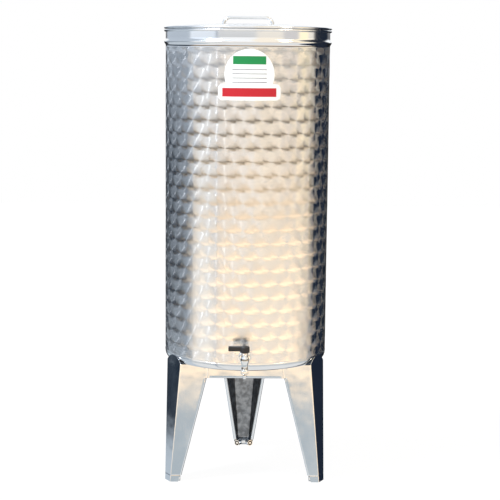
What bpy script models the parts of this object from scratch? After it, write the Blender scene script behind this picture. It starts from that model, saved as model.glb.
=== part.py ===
"""Stainless steel barrel of about 100 litres, on a stand with three folded sheet legs.

The barrel is a rolled sheet wall with a swaged bead and a rolled rim. A pressed pan closes it
below, and a loose domed lid with a rod handle covers it above. A lever tap is screwed into a
socket at the front, near the bottom. The stand is three tapering legs, each one sheet folded
to a centre face and two flanges, joined by three apron strips on which the barrel rests.

Metres, +Z up, the front (the tap) towards -Y. The origin is on the floor, under the middle of
the whole object's box. The barrel's axis stands a little behind it, because the tap reaches
further forward than the back leg reaches backward.
"""
import math

import bmesh
import bpy
from mathutils import Matrix, Vector

# Driving dimensions, in metres
CLEARANCE = 0.0003
ROUND_STEPS = 60
SMALL_STEPS = 20
TUBE_STEPS = 8
MERGE_DISTANCE = 0.00001
CUT_MARGIN = 0.002
CUT_REACH = 0.020

STAND_HEIGHT = 0.2970

BARREL_RADIUS = 0.200
BARREL_SHEET = 0.0010
PAN_SHEET = 0.0012
PAN_HEIGHT = 0.015
PAN_FOOT_RADIUS = 0.1936
PAN_RECESS_RADIUS = 0.115
PAN_RECESS_DEPTH = 0.004
WALL_TOP = 0.7970
BEAD_HEIGHT = 0.7730
BEAD_PROUD = 0.00375
BEAD_WIDTH = 0.016

RIM_TUBE_RADIUS = 0.0033
RIM_OUTER_RADIUS = 0.2040

LID_SHEET = 0.0010
LID_EDGE_TUBE_RADIUS = 0.0028
LID_OUTER_RADIUS = 0.2040
LID_DOME_RADIUS = 0.196
LID_DOME_RISE = 0.0085
LID_SKIRT_RADIUS = 0.192
LID_SKIRT_DEPTH = 0.0172
LID_OUTER_RINGS = 4

HANDLE_ROD_RADIUS = 0.00375
HANDLE_BASE = 0.119
HANDLE_TOP = 0.108
HANDLE_RISE = 0.0183
HANDLE_BEND_RADIUS = 0.018
HANDLE_FOOT = 0.002

LEG_SHEET = 0.0015
LEG_TOP_APOTHEM = 0.2023
LEG_FOOT_APOTHEM = 0.2192
LEG_TOP_WIDTH = 0.0686
LEG_FOOT_WIDTH = 0.0270
LEG_LIP = 0.0168
LEG_LIP_POWER = 2.5
LEG_LIP_COLUMNS = (0.3, 0.55, 0.75, 0.92)
FOLD_ANGLE = math.radians(60)
FLANGE_FOOT_WIDTH = 0.024
FLANGE_APRON_WIDTH = 0.067
FLANGE_CURL_RADIUS = 0.0042
FLANGE_CURL_SWEEP = math.radians(262)
FLANGE_CURL_STEPS = 6
CURL_GAP = 0.0012
LEG_SPREAD = math.radians(60)
STAND_TURN = math.radians(0.8)
LEG_TURNS = {
    "front_left": STAND_TURN - LEG_SPREAD,
    "front_right": STAND_TURN + LEG_SPREAD,
    "back": STAND_TURN + math.pi,
}

APRON_SHEET = 0.0015
APRON_HEIGHT = 0.034
APRON_HEM_DEPTH = 0.0036
APRON_HEM_HEIGHT = 0.008
APRON_HEM_NOTCH = 0.004
APRON_TAB = 0.016
APRON_JOGGLE = 0.0022
APRON_TURNS = {
    "front": STAND_TURN,
    "right": STAND_TURN + 2 * LEG_SPREAD,
    "left": STAND_TURN - 2 * LEG_SPREAD,
}

HEM_RADIUS = 0.0076
HEM_BORE_RADIUS = 0.0034
HEM_LEAN = 0.0005
HEM_REACH = 0.0235
HEM_STEPS = 16
CURL_FOOT = 0.0168
FOOT_TRIM = 0.002

OUTLET_HEIGHT = 0.037
OUTLET_BORE_RADIUS = 0.0083
BOSS_RADIUS = 0.0130
BOSS_INNER_REACH = 0.006
BOSS_OUTER_REACH = 0.008
GASKET_THICKNESS = 0.0015
GASKET_RADIUS = 0.0120
NUT_ACROSS_FLATS = 0.024
NUT_THICKNESS = 0.007
TAILPIECE_RADIUS = 0.0080
TAILPIECE_INNER_REACH = 0.005
TAILPIECE_OUTER_REACH = 0.020

TAP_REACH = 0.046
TAP_INLET_RADIUS = 0.0085
TAP_INLET_STEPS = 18
TAP_SHOULDER_RADIUS = 0.0080
TAP_UPPER_RADIUS = 0.0098
TAP_UPPER_DROP = 0.003
TAP_BULGE_RADIUS = 0.0104
TAP_BULGE_RISE = 0.002
TAP_LOWER_RADIUS = 0.0099
TAP_LOWER_DROP = 0.003
TAP_NECK_RADIUS = 0.0082
TAP_NECK_DROP = 0.008
TAP_BODY_TOP = 0.0500
TAP_BODY_BOTTOM = 0.0156
SPOUT_BORE_RADIUS = 0.0036
SPOUT_BORE_DEPTH = 0.010
COLLAR_RADIUS = 0.0090
COLLAR_BOTTOM = 0.0048
NOZZLE_RADIUS = 0.0049
NOZZLE_BOTTOM = -0.0070
BONNET_RADIUS = 0.0086
BONNET_BORE_RADIUS = 0.0034
BONNET_TOP = 0.0552
STEM_RADIUS = 0.0030
STEM_TOP = 0.0557
STEM_STEPS = 12

LEVER_BOTTOM = 0.0560
LEVER_HUB_TOP = 0.0705
LEVER_HUB_RADIUS = 0.0113
LEVER_HUB_EDGE = 0.001
LEVER_HUB_STEPS = 24
LEVER_LENGTH = 0.0386
LEVER_ARM_BOTTOM = 0.0593
LEVER_ARM_TOP = 0.0699
LEVER_ARM_WIDTH = 0.014
LEVER_EDGE_RADIUS = 0.0022
LEVER_CAP_RADIUS = 0.0062
LEVER_CAP_TOP = 0.0718

# The axis stands behind the origin by half of what the tap reaches beyond the back leg
FRONT_REACH = BARREL_RADIUS + TAP_REACH + LEVER_HUB_RADIUS
FOOT_CORNER = LEG_FOOT_WIDTH / 2 * math.sin(STAND_TURN)
BACK_REACH = LEG_FOOT_APOTHEM * math.cos(STAND_TURN) + FOOT_CORNER
AXIS_Y = (FRONT_REACH - BACK_REACH) / 2


def clear_scene():
    """Remove every object, and make the collections for the parts and the cutters."""
    for item in list(bpy.data.objects):
        bpy.data.objects.remove(item, do_unlink=True)
    parts = bpy.data.collections.new("steel_barrel")
    cutters = bpy.data.collections.new("cutters")
    for group in (parts, cutters):
        bpy.context.scene.collection.children.link(group)
    return parts, cutters


def principled(name, colour, roughness, metallic):
    """A plain finish from its base colour, roughness and metallic value."""
    material = bpy.data.materials.new(name)
    material.use_nodes = True
    shader = material.node_tree.nodes["Principled BSDF"]
    shader.inputs["Base Color"].default_value = (*colour, 1.0)
    shader.inputs["Roughness"].default_value = roughness
    shader.inputs["Metallic"].default_value = metallic
    return material


PARTS, CUTTERS = clear_scene()
TURNED_STEEL = principled("engine_turned_steel", (0.72, 0.72, 0.73), 0.28, 1.0)
BRIGHT_STEEL = principled("bright_steel", (0.78, 0.78, 0.79), 0.15, 1.0)
SATIN_STEEL = principled("satin_steel", (0.55, 0.58, 0.61), 0.35, 1.0)
PLATED_BRASS = principled("plated_brass", (0.82, 0.82, 0.82), 0.10, 1.0)
BLACK_PLASTIC = principled("black_plastic", (0.015, 0.015, 0.016), 0.35, 0.0)
WHITE_SEAL = principled("white_seal", (0.85, 0.85, 0.82), 0.5, 0.0)


def place(name, data, material, parent, location=(0, 0, 0), turn=(0, 0, 0), group=None):
    """Put a mesh or curve into the scene as a named object under its parent empty."""
    item = bpy.data.objects.new(name, data)
    (group or PARTS).objects.link(item)
    if material is not None and not data.materials:
        data.materials.append(material)
    item.parent = parent
    item.location = location
    item.rotation_euler = turn
    return item


def empty(name, location, parent=None, turn=(0, 0, 0)):
    """An empty that carries a sub-assembly, or stands on a joint's axis."""
    return place(name, None, None, parent, location, turn)


def shade_round(mesh, sharp_degrees=35):
    """Smooth the round faces and keep the edges sharp where the shape turns quickly."""
    mesh.shade_smooth()
    mesh.set_sharp_from_angle(angle=math.radians(sharp_degrees))


def turned(name, profile, material, parent, steps, closed, location=(0, 0, 0), sheet=None):
    """A turned piece: a profile of (radius, height) points carried round local Z.

    A closed profile gives a ring, an open one that starts and ends on the axis gives a solid,
    and an open one with a sheet thickness gives a shell that thickens inwards.
    """
    mesh = bpy.data.meshes.new(name)
    points = [(radius, 0.0, height) for radius, height in profile]
    edges = [(i, i + 1) for i in range(len(points) - 1)]
    if closed:
        edges.append((len(points) - 1, 0))
    mesh.from_pydata(points, edges, [])
    item = place(name, mesh, material, parent, location)
    screw = item.modifiers.new("turn", "SCREW")
    screw.axis = "Z"
    screw.angle = math.tau
    screw.steps = steps
    screw.render_steps = steps
    screw.use_merge_vertices = True
    screw.merge_threshold = MERGE_DISTANCE
    screw.use_smooth_shade = True
    if sheet is not None:
        shell = item.modifiers.new("sheet", "SOLIDIFY")
        shell.thickness = sheet
        shell.offset = -1.0
        shell.use_even_offset = True
    return item


def disc_profile(radius, bottom, top):
    """The profile of a plain disc or pin, from the top centre round to the bottom centre."""
    return [(0, top), (radius, top), (radius, bottom), (0, bottom)]


def ring_profile(inner, outer, bottom, top):
    """The closed profile of a ring with a rectangular section."""
    return [(inner, top), (outer, top), (outer, bottom), (inner, bottom)]


def torus(name, ring_radius, tube_radius, material, parent, height):
    """A rolled edge: a closed round tube that runs round the axis."""
    bpy.ops.mesh.primitive_torus_add(
        major_segments=ROUND_STEPS,
        minor_segments=TUBE_STEPS,
        major_radius=ring_radius,
        minor_radius=tube_radius,
    )
    primitive = bpy.context.active_object
    mesh = primitive.data
    mesh.name = name
    bpy.data.objects.remove(primitive, do_unlink=True)
    shade_round(mesh, 60)
    return place(name, mesh, material, parent, (0, 0, height))


def cylinder_mesh(name, radius, low, high, segments):
    """A closed cylinder or prism along local Z, from low to high."""
    mesh = bpy.data.meshes.new(name)
    shape = bmesh.new()
    bmesh.ops.create_cone(
        shape,
        cap_ends=True,
        segments=segments,
        radius1=radius,
        radius2=radius,
        depth=high - low,
        matrix=Matrix.Translation((0, 0, (low + high) / 2)),
    )
    shape.to_mesh(mesh)
    shape.free()
    return mesh


def combine(item, operation, name, mesh, parent, location=(0, 0, 0), turn=(0, 0, 0)):
    """Cut a hidden shape out of an object, or join it on, with a Boolean modifier."""
    tool = place(name, mesh, None, parent, location, turn, group=CUTTERS)
    tool.hide_render = True
    tool.display_type = "WIRE"
    boolean = item.modifiers.new(name, "BOOLEAN")
    boolean.operation = operation
    boolean.solver = "EXACT"
    boolean.object = tool


def mix(start, end, share):
    """The value a share of the way from start to end."""
    return start + (end - start) * share


# The barrel


def bead_points():
    """The swaged bead, as (radius, height) points from its upper foot to its lower one."""
    steps = 8
    points = []
    for i in range(steps + 1):
        share = i / steps
        height = BEAD_HEIGHT + BEAD_WIDTH * (0.5 - share)
        proud = BEAD_PROUD * 0.5 * (1 - math.cos(math.tau * share))
        points.append((BARREL_RADIUS + proud, height))
    return points


def knuckle_points(steps=5):
    """The pan's rounded corner: a quarter of an ellipse from the wall in to the flat foot."""
    points = []
    for i in range(steps + 1):
        angle = math.pi / 2 * i / steps
        radius = mix(PAN_FOOT_RADIUS, BARREL_RADIUS, math.cos(angle))
        points.append((radius, PAN_HEIGHT * (1 - math.sin(angle))))
    return points


def build_barrel(seat):
    """The wall, its rolled rim, the bottom pan and the tap's welded socket."""
    wall_bottom = PAN_HEIGHT + CLEARANCE
    profile = [(BARREL_RADIUS, WALL_TOP), *bead_points(), (BARREL_RADIUS, wall_bottom)]
    wall = turned(
        "barrel_wall", profile, TURNED_STEEL, seat, ROUND_STEPS, False, sheet=BARREL_SHEET
    )
    hole_radius = BOSS_RADIUS + CLEARANCE
    hole = cylinder_mesh("outlet_hole", hole_radius, -CUT_REACH, CUT_REACH, SMALL_STEPS)
    combine(
        wall,
        "DIFFERENCE",
        "outlet_hole",
        hole,
        seat,
        (0, -BARREL_RADIUS, OUTLET_HEIGHT),
        (math.pi / 2, 0, 0),
    )
    torus(
        "top_rim",
        RIM_OUTER_RADIUS - RIM_TUBE_RADIUS,
        RIM_TUBE_RADIUS,
        BRIGHT_STEEL,
        seat,
        WALL_TOP + CLEARANCE + RIM_TUBE_RADIUS,
    )
    recess = [
        (PAN_RECESS_RADIUS + PAN_RECESS_DEPTH, 0),
        (PAN_RECESS_RADIUS, PAN_RECESS_DEPTH),
        (0, PAN_RECESS_DEPTH),
    ]
    turned(
        "bottom_pan",
        [*knuckle_points(), *recess],
        BRIGHT_STEEL,
        seat,
        ROUND_STEPS,
        False,
        sheet=PAN_SHEET,
    )


# The lid


def lid_height(radius):
    """Height of the lid's outer surface above its seat, on the dome that starts at its edge."""
    return LID_DOME_RISE * (1 - (radius / LID_DOME_RADIUS) ** 2)


def build_lid(seat):
    """The lid's disc, rolled edge, locating skirt and rod handle, above the rim's top."""
    edge_height = CLEARANCE + LID_EDGE_TUBE_RADIUS
    edge_radius = LID_OUTER_RADIUS - LID_EDGE_TUBE_RADIUS
    dome_base = CLEARANCE + 2 * LID_EDGE_TUBE_RADIUS
    torus("lid_edge", edge_radius, LID_EDGE_TUBE_RADIUS, BRIGHT_STEEL, seat, edge_height)
    handle_radius = HANDLE_BASE / 2
    dome_radii = []
    for i in range(LID_OUTER_RINGS + 1):
        dome_radii.append(mix(LID_DOME_RADIUS, handle_radius, i / LID_OUTER_RINGS))
    dome_radii += [handle_radius / 2, 0]
    dome = [(radius, dome_base + lid_height(radius)) for radius in dome_radii]
    rolled_in = (edge_radius - LID_EDGE_TUBE_RADIUS - CLEARANCE, edge_height)
    profile = [rolled_in, *dome]
    # The profile runs from the axis outwards and down, so that the outside faces up
    profile.reverse()
    turned(
        "lid_disc", profile, BRIGHT_STEEL, seat, ROUND_STEPS, False, sheet=LID_SHEET
    )
    skirt_top = dome_base + lid_height(LID_SKIRT_RADIUS) - LID_SHEET - 2 * CLEARANCE
    skirt = ring_profile(
        LID_SKIRT_RADIUS - LID_SHEET,
        LID_SKIRT_RADIUS,
        skirt_top - LID_SKIRT_DEPTH,
        skirt_top,
    )
    turned("lid_skirt", skirt, BRIGHT_STEEL, seat, ROUND_STEPS, True)
    build_handle(seat, dome_base)


def rounded_corner(before, corner, after, radius, steps=6):
    """Points of an arc of the given radius that rounds one corner of a flat path."""
    back = (before - corner).normalized()
    ahead = (after - corner).normalized()
    half = back.angle(ahead) / 2
    reach = radius / math.tan(half)
    centre = corner + (back + ahead).normalized() * (radius / math.sin(half))
    start = corner + back * reach - centre
    end = corner + ahead * reach - centre
    turn = start.angle(end)
    points = []
    for i in range(steps + 1):
        angle = turn * i / steps
        along = start * math.sin(turn - angle) + end * math.sin(angle)
        points.append(centre + along / math.sin(turn))
    return points


def build_handle(seat, dome_base):
    """The bent rod that stands on the lid, as one round wire with flat ends."""
    foot_height = dome_base + lid_height(HANDLE_BASE / 2) + CLEARANCE
    apex = dome_base + LID_DOME_RISE
    top_height = apex + HANDLE_RISE - HANDLE_ROD_RADIUS
    foot = Vector((-HANDLE_BASE / 2, 0, foot_height))
    knee = Vector((-HANDLE_BASE / 2, 0, foot_height + HANDLE_FOOT))
    corner = Vector((-HANDLE_TOP / 2, 0, top_height))
    middle = Vector((0, 0, top_height))
    half = [foot, knee, *rounded_corner(knee, corner, middle, HANDLE_BEND_RADIUS)]
    other_half = [Vector((-point.x, 0, point.z)) for point in reversed(half)]
    path = half + other_half
    curve = bpy.data.curves.new("lid_handle", "CURVE")
    curve.dimensions = "3D"
    curve.bevel_depth = HANDLE_ROD_RADIUS
    curve.bevel_resolution = 2
    curve.use_fill_caps = True
    spline = curve.splines.new("POLY")
    spline.points.add(len(path) - 1)
    for point, place_at in zip(spline.points, path):
        point.co = (*place_at, 1.0)
    place("lid_handle", curve, BRIGHT_STEEL, seat)


# The stand


def leg_share(height):
    """How far a height above the floor lies from the leg's foot to its top."""
    return height / STAND_HEIGHT


def leg_apothem(height):
    """Distance of the leg's centre face from the barrel's axis at a height."""
    return mix(LEG_FOOT_APOTHEM, LEG_TOP_APOTHEM, leg_share(height))


def leg_half_width(height):
    """Half the width of the leg's centre face at a height."""
    return mix(LEG_FOOT_WIDTH, LEG_TOP_WIDTH, leg_share(height)) / 2


def flange_width(height):
    """Width of each folded flange, which grows up to the apron and is even beside it."""
    apron_bottom = STAND_HEIGHT - APRON_HEIGHT
    return mix(FLANGE_FOOT_WIDTH, FLANGE_APRON_WIDTH, min(height / apron_bottom, 1.0))


def flange_points(height, inset, width):
    """Fold and free edge of the right flange, in plan, for a leg that faces -Y."""
    fold = Vector((leg_half_width(height) - inset * math.tan(FOLD_ANGLE / 2), 0))
    fold.y = -(leg_apothem(height) - inset)
    along = Vector((math.cos(FOLD_ANGLE), math.sin(FOLD_ANGLE)))
    return fold, fold + along * width


def leg_half_section(height, curled):
    """The leg's sheet in plan from the middle of its centre face to the right free edge."""
    flat_width = flange_width(height)
    if curled:
        flat_width -= FLANGE_CURL_RADIUS
    fold, edge = flange_points(height, 0, flat_width)
    points = [Vector((fold.x * share, fold.y)) for share in LEG_LIP_COLUMNS]
    points += [fold, edge]
    if curled:
        along = Vector((math.cos(FOLD_ANGLE), math.sin(FOLD_ANGLE)))
        outward = Vector((along.y, -along.x))
        centre = edge - outward * FLANGE_CURL_RADIUS
        for i in range(1, FLANGE_CURL_STEPS + 1):
            angle = FLANGE_CURL_SWEEP * i / FLANGE_CURL_STEPS
            radial = outward * math.cos(angle) + along * math.sin(angle)
            points.append(centre + radial * FLANGE_CURL_RADIUS)
    return points


def whole_section(half):
    """A half section mirrored to its left side, ordered from left to right."""
    left = [Vector((-point.x, point.y)) for point in reversed(half)]
    return left + half


def skin_rows(name, rows):
    """A mesh from rows of (x, y, z) points, top row first, each row from left to right.

    A row may hold None where the sheet has no point, and no face is made there.
    """
    mesh = bpy.data.meshes.new(name)
    shape = bmesh.new()
    grid = [[shape.verts.new(point) if point else None for point in row] for row in rows]
    for upper, lower in zip(grid, grid[1:]):
        for i in range(len(upper) - 1):
            corners = (upper[i], lower[i], lower[i + 1], upper[i + 1])
            if all(corners):
                shape.faces.new(corners)
    shape.to_mesh(mesh)
    shape.free()
    return mesh


def leg_mesh():
    """One leg's folded sheet: centre face with an arched lip, two flanges, curled free edges."""
    arch = [LEG_LIP * (1 - share**LEG_LIP_POWER) for share in LEG_LIP_COLUMNS]
    lip_rises = (*arch, -CLEARANCE, -CLEARANCE)
    top_half = leg_half_section(STAND_HEIGHT, False)
    blank = [None] * FLANGE_CURL_STEPS
    top_row = []
    for point, rise in zip(top_half, lip_rises):
        top_row.append((point.x, point.y, STAND_HEIGHT + rise))
    left = [(-x, y, z) for x, y, z in reversed(top_row)]
    rows = [[*blank, *left, *top_row, *blank]]
    curl_top = STAND_HEIGHT - APRON_HEIGHT - CURL_GAP
    plain = [(p.x, p.y, curl_top) for p in whole_section(leg_half_section(curl_top, False))]
    curled = [(p.x, p.y, curl_top) for p in whole_section(leg_half_section(curl_top, True))]
    # The free edge is moved in to where the curl starts, so the flange stays one sheet
    plain[0] = curled[FLANGE_CURL_STEPS]
    plain[-1] = curled[-FLANGE_CURL_STEPS - 1]
    rows.append([*curled[:FLANGE_CURL_STEPS], *plain, *curled[-FLANGE_CURL_STEPS:]])
    plain = [(p.x, p.y, CURL_FOOT) for p in whole_section(leg_half_section(CURL_FOOT, False))]
    curled = [(p.x, p.y, CURL_FOOT) for p in whole_section(leg_half_section(CURL_FOOT, True))]
    plain[0] = curled[FLANGE_CURL_STEPS]
    plain[-1] = curled[-FLANGE_CURL_STEPS - 1]
    rows.append([*curled[:FLANGE_CURL_STEPS], *plain, *curled[-FLANGE_CURL_STEPS:]])
    below = -FOOT_TRIM
    foot = [(p.x, p.y, below) for p in whole_section(leg_half_section(below, False))]
    rows.append([*blank, *foot, *blank])
    return skin_rows("folded_leg", rows)


def hem_mesh():
    """The rolled hem inside a foot: a thick pipe along the centre face and both flanges.

    Each station of the path has a ring of outer points and one of inner points. A point's depth
    behind the leg's outer side moves its corner along the mitre of the fold.
    """
    height = 2 * HEM_RADIUS
    depth = LEG_SHEET + CLEARANCE + HEM_LEAN + HEM_RADIUS
    slope = math.tan(FOLD_ANGLE / 2)
    mesh = bpy.data.meshes.new("foot_hem")
    shape = bmesh.new()
    skins = []
    for radius in (HEM_RADIUS, HEM_BORE_RADIUS):
        stations = [[], [], [], []]
        for i in range(HEM_STEPS):
            angle = math.tau * i / HEM_STEPS
            inset = depth + radius * math.cos(angle)
            fold, edge = flange_points(height, inset, HEM_REACH - inset * slope)
            z = HEM_RADIUS + CLEARANCE + radius * math.sin(angle)
            for station, point in zip(stations, whole_section([fold, edge])):
                station.append(shape.verts.new((point.x, point.y, z)))
        skins.append(stations)
    outer, inner = skins
    for i in range(HEM_STEPS):
        after = (i + 1) % HEM_STEPS
        for left, right in zip(outer, outer[1:]):
            shape.faces.new((left[i], left[after], right[after], right[i]))
        for left, right in zip(inner, inner[1:]):
            shape.faces.new((left[after], left[i], right[i], right[after]))
        shape.faces.new((outer[0][after], outer[0][i], inner[0][i], inner[0][after]))
        shape.faces.new((outer[-1][i], outer[-1][after], inner[-1][after], inner[-1][i]))
    bmesh.ops.recalc_face_normals(shape, faces=shape.faces)
    shape.to_mesh(mesh)
    shape.free()
    return mesh


def apron_columns(height, in_hem):
    """Plan points of the front apron's outer side at a height, from left to right.

    The two front flanges lie in one plane, and the apron's face continues it between them.
    """
    apothem = leg_apothem(height)
    half_width = leg_half_width(height)
    fold_x = -apothem * math.sin(LEG_SPREAD) + half_width * math.cos(LEG_SPREAD)
    joint_x = fold_x + flange_width(height) + CLEARANCE
    face_y = -(apothem * math.cos(LEG_SPREAD) + half_width * math.sin(LEG_SPREAD))
    behind_y = face_y + LEG_SHEET + CLEARANCE
    face_x = joint_x + APRON_JOGGLE
    half = [
        (face_x + APRON_HEM_NOTCH, face_y),
        (face_x, face_y),
        (joint_x, behind_y),
        (joint_x - APRON_TAB, behind_y),
    ]
    if in_hem:
        half = [(face_x + APRON_HEM_NOTCH, face_y + APRON_HEM_DEPTH), None, None, None]
    left = list(reversed(half))
    right = [(-point[0], point[1]) if point else None for point in half]
    return left + right


def apron_mesh():
    """The front apron: a strip with joggled end tabs and a hem folded back along its foot.

    The hem stops short of the joggles, where its corners are notched out.
    """
    top = STAND_HEIGHT - CLEARANCE
    bottom = STAND_HEIGHT - APRON_HEIGHT
    hem_top = bottom + APRON_HEM_HEIGHT
    rows = []
    for height, in_hem in ((top, False), (bottom, False), (bottom, True), (hem_top, True)):
        columns = apron_columns(height, in_hem)
        rows.append([(p[0], p[1], height) if p else None for p in columns])
    return skin_rows("apron_strip", rows)


def add_sheet(item, thickness):
    """Give an open outer skin its sheet thickness, inwards."""
    shell = item.modifiers.new("sheet", "SOLIDIFY")
    shell.thickness = thickness
    shell.offset = -1.0
    shell.use_even_offset = True


def trim_foot(item, floor):
    """Cut a leg piece flat at the floor, because its sheet leans outwards."""
    reach = LEG_FOOT_APOTHEM * 2
    block = cylinder_mesh("floor_trim", reach, -CUT_REACH, 0, 4)
    combine(item, "DIFFERENCE", "floor_trim", block, floor)


def build_stand(floor):
    """Three legs with their foot hems, and the three aprons between them."""
    leg = leg_mesh()
    hem = hem_mesh()
    for where, azimuth in LEG_TURNS.items():
        turn = (0, 0, azimuth)
        sheet = place(f"leg_{where}", leg, SATIN_STEEL, floor, turn=turn)
        add_sheet(sheet, LEG_SHEET)
        trim_foot(sheet, floor)
        place(f"foot_hem_{where}", hem, SATIN_STEEL, floor, turn=turn)
    apron = apron_mesh()
    for where, azimuth in APRON_TURNS.items():
        strip = place(f"apron_{where}", apron, SATIN_STEEL, floor, turn=(0, 0, azimuth))
        add_sheet(strip, APRON_SHEET)


# The tap


def build_inlet(inlet):
    """The pieces along the tap's inlet, whose local Z runs outwards from the wall."""
    boss = ring_profile(OUTLET_BORE_RADIUS, BOSS_RADIUS, -BOSS_INNER_REACH, BOSS_OUTER_REACH)
    turned("outlet_boss", boss, BRIGHT_STEEL, inlet, SMALL_STEPS, True)
    gasket_start = BOSS_OUTER_REACH + CLEARANCE
    gasket_end = gasket_start + GASKET_THICKNESS
    gasket = ring_profile(OUTLET_BORE_RADIUS, GASKET_RADIUS, gasket_start, gasket_end)
    turned("tap_gasket", gasket, WHITE_SEAL, inlet, SMALL_STEPS, True)
    nut_start = gasket_end + CLEARANCE
    corner_radius = NUT_ACROSS_FLATS / 2 / math.cos(math.pi / 6)
    nut_end = nut_start + NUT_THICKNESS
    prism = cylinder_mesh("tap_nut", corner_radius, nut_start, nut_end, 6)
    nut = place("tap_nut", prism, PLATED_BRASS, inlet)
    bore_ends = (nut_start - CUT_MARGIN, nut_end + CUT_MARGIN)
    bore = cylinder_mesh("nut_bore", OUTLET_BORE_RADIUS, *bore_ends, SMALL_STEPS)
    combine(nut, "DIFFERENCE", "nut_bore", bore, inlet)
    tailpiece = disc_profile(TAILPIECE_RADIUS, -TAILPIECE_INNER_REACH, TAILPIECE_OUTER_REACH)
    turned("tap_tailpiece", tailpiece, PLATED_BRASS, inlet, SMALL_STEPS, False)


def build_tap_body(tap):
    """The tap's fixed body, spout collar, nozzle and bonnet, on the vertical axis."""
    body_profile = [
        (0, TAP_BODY_TOP),
        (TAP_SHOULDER_RADIUS, TAP_BODY_TOP),
        (TAP_UPPER_RADIUS, TAP_BODY_TOP - TAP_UPPER_DROP),
        (TAP_BULGE_RADIUS, OUTLET_HEIGHT + TAP_BULGE_RISE),
        (TAP_LOWER_RADIUS, OUTLET_HEIGHT - TAP_LOWER_DROP),
        (TAP_NECK_RADIUS, OUTLET_HEIGHT - TAP_NECK_DROP),
        (TAP_NECK_RADIUS, TAP_BODY_BOTTOM),
        (SPOUT_BORE_RADIUS, TAP_BODY_BOTTOM),
        (SPOUT_BORE_RADIUS, TAP_BODY_BOTTOM + SPOUT_BORE_DEPTH),
        (0, TAP_BODY_BOTTOM + SPOUT_BORE_DEPTH),
    ]
    body = turned("tap_body", body_profile, PLATED_BRASS, tap, SMALL_STEPS, False)
    inlet_length = TAP_REACH - TAILPIECE_OUTER_REACH - CLEARANCE
    inlet = cylinder_mesh("tap_inlet", TAP_INLET_RADIUS, 0, inlet_length, TAP_INLET_STEPS)
    combine(
        body,
        "UNION",
        "tap_inlet",
        inlet,
        tap,
        (0, 0, OUTLET_HEIGHT),
        (-math.pi / 2, 0, 0),
    )
    collar_top = TAP_BODY_BOTTOM - CLEARANCE
    collar = ring_profile(SPOUT_BORE_RADIUS, COLLAR_RADIUS, COLLAR_BOTTOM, collar_top)
    turned("tap_collar", collar, PLATED_BRASS, tap, SMALL_STEPS, True)
    nozzle_top = COLLAR_BOTTOM - CLEARANCE
    nozzle = ring_profile(SPOUT_BORE_RADIUS, NOZZLE_RADIUS, NOZZLE_BOTTOM, nozzle_top)
    turned("tap_nozzle", nozzle, PLATED_BRASS, tap, SMALL_STEPS, True)
    bonnet_bottom = TAP_BODY_TOP + CLEARANCE
    bonnet = ring_profile(BONNET_BORE_RADIUS, BONNET_RADIUS, bonnet_bottom, BONNET_TOP)
    turned("tap_bonnet", bonnet, PLATED_BRASS, tap, SMALL_STEPS, True)


def arm_mesh():
    """The lever's arm, a block with rounded edges that runs from the hub towards -X."""
    mesh = bpy.data.meshes.new("lever_arm")
    shape = bmesh.new()
    bmesh.ops.create_cube(shape, size=1.0)
    size = Vector((LEVER_LENGTH, LEVER_ARM_WIDTH, LEVER_ARM_TOP - LEVER_ARM_BOTTOM))
    middle_height = (LEVER_ARM_TOP + LEVER_ARM_BOTTOM) / 2
    bmesh.ops.scale(shape, vec=size, verts=shape.verts)
    bmesh.ops.translate(shape, vec=(-LEVER_LENGTH / 2, 0, middle_height), verts=shape.verts)
    long_edges = [edge for edge in shape.edges if edge.verts[0].co.x < -LEVER_LENGTH / 2]
    far_edges = [edge for edge in long_edges if edge.verts[1].co.x < -LEVER_LENGTH / 2]
    bmesh.ops.bevel(
        shape, geom=far_edges, offset=LEVER_EDGE_RADIUS, segments=2, profile=0.5,
        affect="EDGES",
    )
    shape.to_mesh(mesh)
    shape.free()
    return mesh


def build_lever(pivot):
    """The turning pieces, on the stem's axis: stem, black lever and its cap."""
    stem = disc_profile(STEM_RADIUS, TAP_BODY_TOP + 2 * CLEARANCE, STEM_TOP)
    turned("tap_stem", stem, PLATED_BRASS, pivot, STEM_STEPS, False)
    hub_profile = [
        (0, LEVER_HUB_TOP),
        (LEVER_HUB_RADIUS - LEVER_HUB_EDGE, LEVER_HUB_TOP),
        (LEVER_HUB_RADIUS, LEVER_HUB_TOP - LEVER_HUB_EDGE),
        (LEVER_HUB_RADIUS, LEVER_BOTTOM),
        (0, LEVER_BOTTOM),
    ]
    lever = turned("tap_lever", hub_profile, BLACK_PLASTIC, pivot, LEVER_HUB_STEPS, False)
    combine(lever, "UNION", "lever_arm", arm_mesh(), pivot)
    cap = disc_profile(LEVER_CAP_RADIUS, LEVER_HUB_TOP + CLEARANCE, LEVER_CAP_TOP)
    turned("lever_cap", cap, BLACK_PLASTIC, pivot, SMALL_STEPS, False)


def main():
    """Build every sub-assembly under its own empty."""
    stand_floor = empty("stand_floor", (0, AXIS_Y, 0))
    barrel_seat = empty("barrel_seat", (0, AXIS_Y, STAND_HEIGHT))
    rim_top = WALL_TOP + CLEARANCE + 2 * RIM_TUBE_RADIUS
    lid_seat = empty("lid_seat", (0, 0, rim_top), barrel_seat)
    inlet_turn = (math.pi / 2, 0, 0)
    inlet = empty("inlet_axis", (0, -BARREL_RADIUS, OUTLET_HEIGHT), barrel_seat, inlet_turn)
    tap = empty("tap_axis", (0, -BARREL_RADIUS - TAP_REACH, 0), barrel_seat)
    pivot = empty("lever_pivot", (0, 0, 0), tap)
    build_stand(stand_floor)
    build_barrel(barrel_seat)
    build_lid(lid_seat)
    build_inlet(inlet)
    build_tap_body(tap)
    build_lever(pivot)


main()
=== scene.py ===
"""Looks of a stainless steel barrel with a lever tap, on a stand with three folded legs.

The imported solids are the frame. Each sub-assembly below is a class that works out its own
surfaces as numpy arrays and dresses them in a finish. Metres, +Z up, the tap towards -Y.
"""
import logging
import math
from dataclasses import dataclass, field
from enum import Enum

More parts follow.
